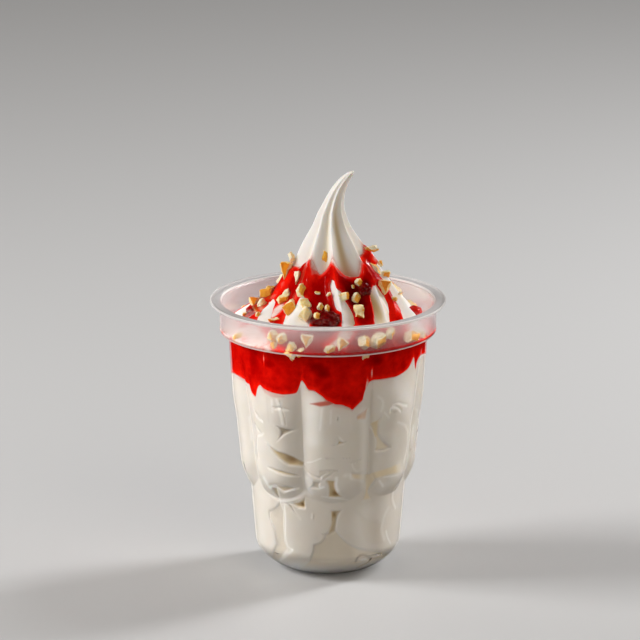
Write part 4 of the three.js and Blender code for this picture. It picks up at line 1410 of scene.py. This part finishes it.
def dark_on_cone(bearing, height):
    """How thick it looks on the cone: thin at its borders, and on the ridges near the top."""
    reach = sauce_reach(bearing, height)
    valley = valley_share(bearing, height)
    from_top = np.clip(sauce_top(bearing, height) - height, 0, None)
    on_side = hill(turn_between(bearing, THIN_SIDE) / THIN_SPREAD)
    thin = TOP_THIN + RIDGE_THIN * (1 - ease(valley, 0.1, 0.7)) * on_side
    coat = COAT_DARK * (1 - np.exp(-np.maximum(reach, 0) / COAT_DARKENS))
    dark = BORDER_DARK + coat + VALLEY_DARK * valley
    # The spots add thicker and thinner places, and painted shade and light.
    spots = spot_strength(flat_across(bearing, CONE_FLAT_RADIUS), height, cone_spots_shade_and_light)
    return np.clip(dark * (1 - np.exp(-from_top / thin)) + spots * np.clip(reach / 1.5, 0, 1), 0, 1)


# %% The sauce
BEAD_ROWS = 4
WALL_ROWS = 60
BEAD_HANG = 0.5  # the drips' edge is rounded under by this much
BEAD_IN = 2.4
SAUCE_IN_WALL = IN_WALL + 0.02
UNDER_LEDGE = 0.9
CONE_HEIGHTS = np.concatenate([[96.2], np.arange(97, 124, 0.4), np.arange(124.5, 131, 0.8)])
COLLAR_LEAN = 0.05  # the sauce draws in from the collar by this much for each mm over the pool
INNER_ROWS = 8
LEDGE_DARK = 0.45


def sauce_up_the_wall(rows, foot):
    """Rows from the rounded edge of the drips up to the ledge."""
    for share in np.linspace(0, 1, BEAD_ROWS + 1)[:-1]:
        height = foot - BEAD_HANG * math.sin(share * math.pi / 2) + 0.3
        radius = body_radius(foot_bearings, height) - WALL + SAUCE_IN_WALL - BEAD_IN * (1 - share)
        rows.add(foot_bearings, radius, height, thick=dark_on_wall(height), pressed=1)
    for share in np.linspace(0, 1, WALL_ROWS):
        height = lerp(foot, LEDGE_HEIGHT + WALL - UNDER_LEDGE, share)
        radius = body_radius(foot_bearings, height) - WALL + SAUCE_IN_WALL
        rows.add(foot_bearings, radius, height, thick=dark_on_wall(height), pressed=1)


def sauce_on_ledge(rows, at_collar):
    ledge = LEDGE_HEIGHT + WALL - IN_WALL
    x = flat_across(foot_bearings, CONE_FLAT_RADIUS)
    for radius, height in (
        (BAND_TOP_RADIUS - WALL + IN_WALL, ledge), (at_collar - 0.2, ledge), (at_collar, ledge + 0.2),
    ):
        dark = np.clip(LEDGE_DARK + spot_strength(x, height, cone_spots_shade_and_light), 0, 1)
        rows.add(foot_bearings, radius, height, thick=dark, pressed=1)


def sauce_up_the_cone(rows, at_collar):
    """Rows over the cone. Returns the rows of the sauce's back, which lies inside the ice cream."""
    back = []
    for height in CONE_HEIGHTS:
        bearing = column_bearings(height)
        middle = cone_middle(height)
        ice = cone_radius(bearing, height)
        radius = ice + sauce_coat(bearing, height)
        limit = COLLAR_RADIUS - WALL - COLLAR_LEAN * (height - SAUCE_POOL)
        if height < SAUCE_POOL:
            radius, limit = np.maximum(radius, at_collar), at_collar
        rows.add(
            bearing, np.minimum(radius, limit), height, middle, thick=dark_on_cone(bearing, height),
            pressed=radius >= limit,
        )
        if height >= SAUCE_POOL:
            back.append(polar(bearing, np.maximum(np.minimum(ice, limit) - 2, 0.8), height, middle))
    return back


def make_sauce():
    rows = Rows("thick", "pressed")
    foot = sauce_foot(foot_bearings)
    at_collar = COLLAR_RADIUS - WALL + IN_WALL
    sauce_up_the_wall(rows, foot)
    sauce_on_ledge(rows, at_collar)
    high = sauce_up_the_cone(rows, at_collar)
    low = []
    for share in np.linspace(0, 1, INNER_ROWS):
        height = lerp(foot + 0.6, LEDGE_HEIGHT, share)
        low.append(polar(foot_bearings, body_radius(foot_bearings, height) - BEHIND_SAUCE - 0.5, height))
    return rows.piece("sauce", sauce_finish(), back=[*low, *high][::-1])


sauce = make_sauce()

# %% [markdown]
# ## Strawberry pieces
# Three lumps of fruit stick out of the sauce. They could be sculpted one by one. Here each is a rounded
# block with soft dents, and rows of pits with a seed in each, as on the skin of a strawberry. The finish is a
# dark wet red mottled by clouds, and numbers stored on the points pick out the seeds and the clearer piece.

# %% Fruit finish
def fruit_finish():
    f = Finish("strawberry_fruit")
    flesh = f.ramp(f.noise(1.6, 3, 0.6), [
        (0.3, rgb(0.06, 0.001, 0.001)), (0.62, rgb(0.18, 0.002, 0.002)), (0.8, rgb(0.40, 0.012, 0.01)),
    ])
    flesh = f.mix(f.attribute("bright"), flesh, rgb(0.62, 0.012, 0.008))
    base = f.mix(f.maths("MULTIPLY", f.attribute("seed"), 0.55), flesh, rgb(0.45, 0.10, 0.03))
    return f.finish(f.add(
        "BsdfPrincipled", Base_Color=base, Roughness=0.1, Normal=f.bump(f.noise(0.8, 2), 0.08),
        Subsurface_Weight=0.2, Subsurface_Scale=0.0015, Subsurface_Radius=(1.0, 0.15, 0.08),
    ))


# %% Fruit
# bearing, height, half sizes (across, deep, up), number of seeds, and whether it lies in thin sauce and is a
# clearer red
FRUIT = [
    (-7, 105.5, (6.2, 3.4, 3.4), 34, False), (33, 115, (2.8, 2.3, 2.7), 12, False),
    (98, 100.5, (3.4, 2.8, 2.3), 16, True),
]
FRUIT_ROUNDS = 6  # times the ball's faces are divided
SEED_HALF = 0.32
SEED_HEIGHT = 0.14
PIT_HALF = 1.0
SEED_PIT = 0.22
FRUIT_OUT = 0.6  # its middle stands out of the ice cream by at least this much
fruit_material = fruit_finish()


def round_ball(rounds):
    """Points and faces of a ball of radius 1."""
    ball = bmesh.new()
    bmesh.ops.create_icosphere(ball, subdivisions=rounds, radius=1)
    points = np.array([vertex.co[:] for vertex in ball.verts])
    faces = [[vertex.index for vertex in face.verts] for face in ball.faces]
    ball.free()
    return points, faces


def even_places(count):
    """Places spread evenly over a ball, along a spiral from pole to pole."""
    number = np.arange(count) + 0.5
    up, angle = 1 - 2 * number / count, number * math.pi * (3 - math.sqrt(5))
    level = np.sqrt(1 - up * up)
    return np.stack([level * np.cos(angle), level * np.sin(angle), up], axis=1)


def make_fruit(number, bearing, height, size, seeds, bright):
    unit, faces = round_ball(FRUIT_ROUNDS)
    x, y, z = unit.T
    dents = 1 + 0.07 * np.sin(5 * x + 2 * z) + 0.06 * np.cos(6 * y - 3 * x)
    ripples = 0.045 * np.sin(11 * z + 4 * y) * np.cos(9 * x)
    dents += ripples + 0.03 * np.sin(17 * x + 5) * np.sin(15 * y + 3 * z)
    far = np.min(np.linalg.norm((unit[:, None] - even_places(seeds)) * size, axis=2), axis=1)
    shape = unit * size * dents[:, None]
    shape -= unit * (SEED_PIT * hill(far / PIT_HALF) - SEED_HEIGHT * hill(far / SEED_HALF))[:, None]
    at = np.array([bearing], float), np.array([height], float)
    out = (cone_radius(*at) + np.maximum(FRUIT_OUT, sauce_coat(*at))).item()
    turn = math.radians(bearing)
    spin = np.array([[math.cos(turn), -math.sin(turn), 0], [math.sin(turn), math.cos(turn), 0], [0, 0, 1]])
    points = shape @ spin.T + polar(bearing, out, height, float(cone_middle(height)))
    piece = new_piece(f"fruit_{number}", points, faces, [fruit_material])
    give_attribute(piece, "seed", hill(far / SEED_HALF))
    give_attribute(piece, "bright", np.full(len(points), float(bright)))
    return piece


fruit = [make_fruit(number, *sizes) for number, sizes in enumerate(FRUIT, 1)]

# %% [markdown]
# ## Chopped nuts
# Roasted nuts break into chips with flat faces. Cut faces are cream, faces with skin or at the roasted
# outside are golden. A few could be copied and placed by hand. There are about ninety, so five chips are
# modelled, and a Geometry Nodes tree puts them on points that carry a size, a turn and a kind. The nuts of
# the front are given by where they stand in the camera's view, and the others are scattered.

# %% Chips
CHIPS = {  # corners of each chip in a unit box, long way up; each is the hull of its corners
    "block": [
        (-0.5, -0.32, -0.5), (0.3, -0.5, -0.45), (0.5, 0.25, -0.5), (-0.3, 0.5, -0.45), (-0.42, -0.28, 0.42),
        (0.22, -0.42, 0.5), (0.4, 0.2, 0.36), (-0.22, 0.42, 0.48), (0.02, 0.5, -0.3),
    ],
    "wedge": [
        (-0.5, 0.46, -0.5), (0.5, 0.5, -0.4), (0.06, -0.5, -0.4), (-0.4, 0.4, 0.5), (0.42, 0.38, 0.42),
        (0.02, -0.38, 0.2), (0.5, 0.12, -0.3), (-0.46, 0.1, -0.3),
    ],
    "sliver": [
        (-0.2, -0.5, -0.4), (0.3, -0.4, -0.5), (0.5, 0.1, -0.4), (0.2, 0.5, -0.3), (-0.5, 0.3, -0.5),
        (-0.1, -0.34, 0.42), (0.26, -0.1, 0.5), (0.1, 0.36, 0.4), (-0.3, 0.16, 0.3),
    ],
    "chunk": [
        (-0.5, -0.12, -0.3), (-0.1, -0.5, -0.5), (0.44, -0.3, -0.3), (0.5, 0.3, -0.5), (-0.02, 0.5, -0.3),
        (-0.42, 0.32, -0.5), (-0.26, -0.2, 0.4), (0.2, -0.24, 0.5), (0.3, 0.24, 0.3), (-0.14, 0.28, 0.5),
    ],
    "flake": [
        (-0.46, -0.4, -0.3), (0.4, -0.5, -0.5), (0.5, 0.34, -0.3), (-0.3, 0.5, -0.5), (-0.36, -0.3, 0.5),
        (0.3, -0.36, 0.4), (0.36, 0.24, 0.5), (-0.22, 0.36, 0.4),
    ],
}
SKIN_SIDES = {
    "block": (0.3, 0.2, 1), "wedge": (0, 0.1, 1), "sliver": (1, -0.2, 0.3), "chunk": (0.8, 0.1, 0.7),
    "flake": (0.2, 1, 0.1),
}
CHIP_NAMES = sorted(CHIPS)
CHIP_FLAT = 4  # faces that meet at less than this many degrees become one
CHIP_EDGE = 0.018  # rounding of the edges
CHIP_LONG = 0.2  # edges longer than this are divided, so that the chip can be warped
CHIP_WARP, WARP_SIZE = 0.11, 1.7  # how much and how closely its flat faces and edges are bent
CHIP_ROUGH, ROUGH_SIZE = 0.035, 5.3
CHIP_SEED = 1
chips = bpy.data.collections.new("chips")


def make_chip(name, corners):
    """A chip with slightly rounded edges. Each of its flat faces gets a share of roasting."""
    shape = bmesh.new()
    for corner in corners:
        shape.verts.new(corner)
    bmesh.ops.convex_hull(shape, input=shape.verts)
    limit = math.radians(CHIP_FLAT)
    bmesh.ops.dissolve_limit(shape, angle_limit=limit, verts=shape.verts, edges=shape.edges)
    bmesh.ops.bevel(shape, geom=shape.edges[:], offset=CHIP_EDGE, segments=2, affect="EDGES", profile=0.6)
    bmesh.ops.triangulate(shape, faces=shape.faces)
    long_edges = [edge for edge in shape.edges if edge.calc_length() > CHIP_LONG]
    bmesh.ops.subdivide_edges(shape, edges=long_edges, cuts=4, use_grid_fill=True)
    bmesh.ops.triangulate(shape, faces=shape.faces)
    start = Vector((len(name), 0, 0))
    for vertex in shape.verts:
        vertex.co += noise.noise_vector(vertex.co * WARP_SIZE + start) * CHIP_WARP
        vertex.co += noise.noise_vector(vertex.co * ROUGH_SIZE + start) * CHIP_ROUGH
    mesh = bpy.data.meshes.new(name)
    shape.to_mesh(mesh)
    shape.free()
    skin_side = Vector(SKIN_SIDES[name]).normalized()
    toast = [float(ease(face.normal.dot(skin_side), 0.25, 0.85)) for face in mesh.polygons]
    mesh.attributes.new("toast", "FLOAT", "FACE").data.foreach_set("value", toast)
    chips.objects.link(bpy.data.objects.new(name, mesh))
    print(f"{name}: {len(mesh.polygons)} faces")


noise.seed_set(CHIP_SEED)  # without a seed the noise differs from run to run
for name in CHIP_NAMES:
    make_chip(name, CHIPS[name])

# %% Nuts of the front
# across, down, long and wide in pixels, turn of the long side in degrees, chip, roasting
NUTS = [
    (291.5, 257, 11, 7, -12, "sliver", 0.1), (285.5, 271.5, 18, 11, 5, "wedge", 1),
    (297.5, 277.5, 14, 8, 8, "sliver", 0.1), (300.8, 290.5, 13.5, 9, 14, "chunk", 0.5),
    (287.5, 293, 8, 7.5, 200, "wedge", 0), (283.5, 299, 13.5, 9, 78, "chunk", 0.8),
    (267, 294.5, 15, 11.5, 64, "block", 0.55), (253.8, 303.5, 11, 10, 0, "wedge", 0.85),
    (261.5, 304.5, 12, 9, 20, "chunk", 0.15), (290.5, 307.5, 15, 13, 40, "block", 0.65),
    (305.5, 304, 12, 10.5, -40, "block", 0.15), (305.5, 315.5, 14.5, 12.5, 20, "block", 0.08),
    (274, 319.5, 12, 5, 88, "sliver", 0.7), (244.5, 314, 5.5, 3.5, 80, "chunk", 0.5),
    (257.5, 315, 6.5, 5, 20, "chunk", 0.6), (317.5, 293, 5, 3.4, -70, "chunk", 0.3),
    (329, 294, 5, 3.6, 60, "chunk", 0.3), (320, 307, 8, 6.5, 30, "chunk", 0.35),
    (327, 308.8, 7.5, 5.5, 10, "chunk", 0.5), (316.8, 316.2, 7, 6, 0, "chunk", 0.7),
    (343.5, 297, 11.5, 9, 60, "flake", 0.7), (355.5, 298, 11, 8.5, 30, "chunk", 0.5),
    (359.8, 312, 14.5, 9.5, 170, "flake", 0.85), (358.3, 282.3, 8, 7, 20, "chunk", 0.5),
    (353, 287, 4.5, 3, 0, "chunk", 0.7), (371.5, 248.5, 14, 7, 95, "sliver", 0.35),
    (373.5, 268.5, 17, 9, -48, "sliver", 0.25), (380.5, 263.2, 6.5, 4.5, -20, "chunk", 0.5),
    (385, 273.6, 10.5, 7, 80, "chunk", 0.55), (384, 287.5, 14, 11.5, 5, "wedge", 0.95),
    (394, 298.5, 7, 5, 85, "chunk", 0.6), (400, 293.5, 5, 2.4, 65, "sliver", 0.3),
    (325, 256.5, 12, 8, 0, "block", 0.45),
]
BURIED = (325, 256.5)  # this nut is sunk in the ice cream
# Nuts that lie against the collar, given in the same way
COLLAR_NUTS = [
    (272, 336, 9, 8, 20, "chunk", 0.3), (271, 347, 11, 7, 65, "wedge", 0.3),
    (291, 350, 11, 7.5, 10, "block", 0.2), (300, 352.5, 8, 6, 70, "chunk", 0.5),
    (306, 341, 9, 8, 10, "wedge", 0.3), (329.5, 350, 9, 7, 60, "chunk", 0.4),
    (341, 345, 9, 8, 30, "wedge", 0.4), (365, 342.5, 9.5, 9, 0, "chunk", 0.5),
    (379, 340, 13.5, 10, 60, "chunk", 0.35), (391, 333, 9, 7, 40, "chunk", 0.5),
    (412, 336.5, 12, 9, 80, "block", 0.5), (421, 336, 8, 7, 10, "chunk", 0.4),
    (281, 338, 8, 7, 60, "chunk", 0.3), (238, 338, 9, 8, 30, "chunk", 0.4),
]
# Nuts in the sauce against the wall just under the ledge, in the same way
WALL_NUTS = [(365, 355.5, 8, 4.5, 70, "chunk", 0.1), (293, 356, 7, 5, 60, "chunk", 0.4)]
NUT_GROW = 1.1
COLLAR_NUT_GROW = 1.5
NUT_THICKNESS = 0.62  # of its width
SUNK, BURIED_SUNK, WALL_SUNK = 0.2, 0.82, 0.5  # share of its thickness that lies under the surface
AGAINST_COLLAR = COLLAR_RADIUS - WALL - 1.3
AGAINST_WALL = BAND_TOP_RADIUS - WALL - 0.3
print(len(NUTS), "nuts on top and", len(COLLAR_NUTS) + len(WALL_NUTS), "behind the plastic")

# %% Laying the nuts
top_trees = [tree_of(piece) for piece in (body, peak, sauce, *fruit)]
camera_up = camera.matrix_world.to_3x3() @ Vector((0, 1, 0))
nut_points = []  # place, turn, size, kind, roasting
FACING = 0.55  # weight of the surface in where a nut faces; the camera's weight is 1


def cast_on_top(start, direction):
    """The nearest hit on the soft serve, sauce or fruit: place and normal."""
    hits = [tree.ray_cast(start, direction) for tree in top_trees]
    hits = [hit for hit in hits if hit[0] is not None]
    return min(hits, key=lambda hit: hit[3])[:2] if hits else None


def lay_nut(place, normal, up, turn, long, wide, kind, roast, sunk=SUNK):
    """Adds a nut that lies on a surface, with its long side turned from a direction that shows as up."""
    z = normal.normalized()
    y = (up - z * up.dot(z)).normalized()
    turned = Matrix.Rotation(math.radians(turn), 3, z) @ Matrix((y.cross(z), y, z)).transposed()
    thick = wide * NUT_THICKNESS
    middle = place + z * thick * (0.5 - sunk)
    nut_points.append((middle, turned.to_euler(), (wide, long, thick), CHIP_NAMES.index(kind), roast))


def lay_in_view(place, normal, grow, long, wide, turn, kind, roast, sunk):
    """Lays a nut whose sizes are given in pixels."""
    scale = grow * PIXEL * MM
    lay_nut(place, normal, camera_up, -turn, long * scale, wide * scale, kind, roast, sunk)


def lay_on_top(across, down, *nut):
    """Lays a nut on what its sight line meets, turned halfway to the camera."""
    found, step = None, 0
    while found is None:
        found = cast_on_top(*sight_line(lerp(across, CUP_AXIS_ACROSS, 0.01 * step), down + 0.2 * step))
        step += 1
    start, direction = sight_line(across, down)
    place = start + direction * (found[0] - start).dot(direction)
    facing = (found[1].normalized() * FACING - direction).normalized()
    lay_in_view(place, facing, NUT_GROW, *nut, BURIED_SUNK if (across, down) == BURIED else SUNK)


def lay_against(wall_radius, across, down, *nut):
    """Lays a nut where its sight line meets the inside of a round wall."""
    start, direction = sight_line(across, down)
    flat, near = Vector((direction.x, direction.y)), Vector((start.x, start.y))
    a, b, c = flat.dot(flat), near.dot(flat), near.dot(near) - (wall_radius * MM) ** 2
    place = start + direction * (-b - math.sqrt(b * b - a * c)) / a
    lay_in_view(place, Vector((place.x, place.y, 0.01)), COLLAR_NUT_GROW, *nut, WALL_SUNK)


for nut in NUTS:
    lay_on_top(*nut)
for nut in COLLAR_NUTS:
    lay_against(AGAINST_COLLAR, *nut)
for nut in WALL_NUTS:
    lay_against(AGAINST_WALL, *nut)
placed_nuts = len(nut_points)
print(placed_nuts, "nuts are placed one by one")

# %% Scattered nuts
SCATTERED_NUTS = 42
NUT_SEED = 20
SCATTER_BEARINGS = (103, 248)
SCATTER_HEIGHTS = (98.5, 103, 108, 113, 118)
APART = 3.3
OUTSIDE = 40.5  # they are dropped onto the cone from this far out
NUT_WIDE, NUT_LONG = (2.2, 4.6), (1.1, 1.7)  # width, and length as a share of it
HEIGHT_VARIES = 2
draw = np.random.default_rng(NUT_SEED)
while len(nut_points) < placed_nuts + SCATTERED_NUTS:
    bearing = math.radians(draw.uniform(*SCATTER_BEARINGS))
    height = draw.choice(SCATTER_HEIGHTS) + draw.uniform(-HEIGHT_VARIES, HEIGHT_VARIES)
    inwards = Vector((-math.sin(bearing), math.cos(bearing), 0))
    found = cast_on_top(Vector((0, 0, height * MM)) - inwards * OUTSIDE * MM, inwards)
    if found is None or any((found[0] - other[0]).length < APART * MM for other in nut_points):
        continue
    wide = draw.uniform(*NUT_WIDE) * MM
    kind = CHIP_NAMES[draw.integers(len(CHIP_NAMES))]
    turn, long = draw.uniform(0, 360), wide * draw.uniform(*NUT_LONG)
    lay_nut(*found, Vector((0, 0, 1)), turn, long, wide, kind, draw.uniform(0, 1))
print(len(nut_points), "nuts")

# %% [markdown]
# ## Nut finish
# Nut flesh is pale cream, and its roasted outside is golden brown. An image of nuts would repeat on every
# chip. Here each face's share of roasting, each nut's own tint and some clouds choose the colour.

# %% Nut finish
def nut_finish():
    f = Finish("chopped_nut")
    tint = f.attribute("tint")
    roasting = f.maths("ADD", f.maths("MULTIPLY", tint, 0.75), 0.2)
    skin_brown = f.maths("MULTIPLY", f.attribute("toast"), roasting)
    whole_brown = f.maths("MULTIPLY", f.maths("SUBTRACT", tint, 0.4), 0.3)
    cloud = f.maths("MULTIPLY", f.maths("SUBTRACT", f.noise(1.1, 3, 0.6), 0.45), 0.5)
    base = f.ramp(f.maths("ADD", f.maths("ADD", skin_brown, whole_brown), cloud, clamp=True), [
        (0.0, rgb(0.98, 0.90, 0.66)), (0.22, rgb(0.97, 0.76, 0.36)), (0.42, rgb(0.95, 0.52, 0.07)),
        (1.0, rgb(0.82, 0.27, 0.01)),
    ])
    return f.finish(f.add(
        "BsdfPrincipled", Base_Color=base, Roughness=0.42, Normal=f.bump(f.noise(0.35, 3, 0.6), 0.04),
        Subsurface_Weight=0.15, Subsurface_Scale=0.0012,
    ))


# %% The tree that lays the chips
BEND = 1.1  # each laid chip is bent by this much, differently in each place
BEND_SIZE = 2.2


def nut_tree():
    """Puts a chip on each point, with the point's own turn, size and kind, and bends it."""
    tree = bpy.data.node_groups.new("lay_chips", "GeometryNodeTree")
    for name, way, kind in (
        ("Geometry", "OUTPUT", "Geometry"), ("Geometry", "INPUT", "Geometry"),
        ("Chips", "INPUT", "Collection"), ("Nut size", "INPUT", "Float"),
        ("Bend", "INPUT", "Float"), ("Finish", "INPUT", "Material"),
    ):
        tree.interface.new_socket(name, in_out=way, socket_type="NodeSocket" + kind)

    def make(kind, settings=None, **inputs):
        made = tree.nodes.new(kind)
        for name, value in (settings or {}).items():
            setattr(made, name, value)
        for name, value in inputs.items():
            socket = made.inputs[name.replace("_", " ")]
            if isinstance(value, bpy.types.NodeSocket):
                tree.links.new(value, socket)
            else:
                socket.default_value = value
        return made

    def stored(name, kind):
        return make("GeometryNodeInputNamedAttribute", {"data_type": kind}, Name=name).outputs["Attribute"]

    def scaled(vector, scale):
        made = make("ShaderNodeVectorMath", {"operation": "SCALE"}, Vector=vector, Scale=scale)
        return made.outputs["Vector"]

    given = make("NodeGroupInput").outputs
    chip = make(
        "GeometryNodeCollectionInfo", Collection=given["Chips"], Separate_Children=True, Reset_Children=True,
    )
    laid = make(
        "GeometryNodeInstanceOnPoints", Points=given["Geometry"], Instance=chip.outputs["Instances"],
        Pick_Instance=True, Instance_Index=stored("kind", "INT"), Rotation=stored("turned", "FLOAT_VECTOR"),
        Scale=scaled(stored("chip_size", "FLOAT_VECTOR"), given["Nut size"]),
    )
    real = make("GeometryNodeRealizeInstances", Geometry=laid.outputs["Instances"])
    waves = make("ShaderNodeTexNoise", Scale=1 / (BEND_SIZE * MM), Detail=1)
    centred = make("ShaderNodeVectorMath", {"operation": "SUBTRACT"}, Vector=waves.outputs["Color"])
    centred.inputs[1].default_value = (0.5, 0.5, 0.5)
    bent = make(
        "GeometryNodeSetPosition", Geometry=real.outputs["Geometry"],
        Offset=scaled(centred.outputs["Vector"], given["Bend"]),
    )
    finished = make("GeometryNodeSetMaterial", Geometry=bent.outputs["Geometry"], Material=given["Finish"])
    make("NodeGroupOutput", Geometry=finished.outputs["Geometry"])
    return tree


# %% The nuts
def make_nuts():
    places, turns, sizes, kinds, tints = zip(*nut_points)
    mesh = bpy.data.meshes.new("nut_points")
    mesh.from_pydata(places, [], [])
    for name, kind, values in (
        ("turned", "FLOAT_VECTOR", turns), ("chip_size", "FLOAT_VECTOR", sizes), ("kind", "INT", kinds),
        ("tint", "FLOAT", tints),
    ):
        field = "vector" if kind == "FLOAT_VECTOR" else "value"
        mesh.attributes.new(name, kind, "POINT").data.foreach_set(field, np.array(values).ravel())
    holder = bpy.data.objects.new("nut_points", mesh)
    bpy.context.scene.collection.objects.link(holder)
    lay = holder.modifiers.new("lay_chips", "NODES")
    lay.node_group = nut_tree()
    sockets = lay.node_group.interface.items_tree
    identifier = {socket.name: socket.identifier for socket in sockets if socket.in_out == "INPUT"}
    lay[identifier["Chips"]] = chips
    lay[identifier["Nut size"]] = 1.0
    lay[identifier["Bend"]] = BEND * MM
    lay[identifier["Finish"]] = nut_finish()
    made = bpy.data.meshes.new_from_object(holder.evaluated_get(bpy.context.evaluated_depsgraph_get()))
    bpy.data.objects.remove(holder)
    for chip in list(chips.objects):
        bpy.data.objects.remove(chip)
    bpy.data.collections.remove(chips)
    piece = bpy.data.objects.new("nuts", made)
    bpy.context.scene.collection.objects.link(piece)
    print("nuts:", len(made.polygons), "faces")
    return piece


nuts = make_nuts()

# %% [markdown]
# ## Joining the model
# Every finished piece is tied to the body that carries it, and set in place of the plain solid that it
# replaces. Nothing on a sundae moves, so all of them ride on the root body.

# %% Ride and replace
for piece, slot in (
    (cup, "cup_clear"), (body, "soft_serve"), (peak, "soft_serve"),
    (sauce, "strawberry_sauce"), (nuts, "chopped_nut"),
):
    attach(piece, "root")
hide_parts("cup")
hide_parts("soft_serve")
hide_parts("soft_serve")
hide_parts("strawberry_sauce")
for number, piece in enumerate(fruit, 1):
    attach(piece, "root")
    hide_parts(f"strawberry_piece_{number}")
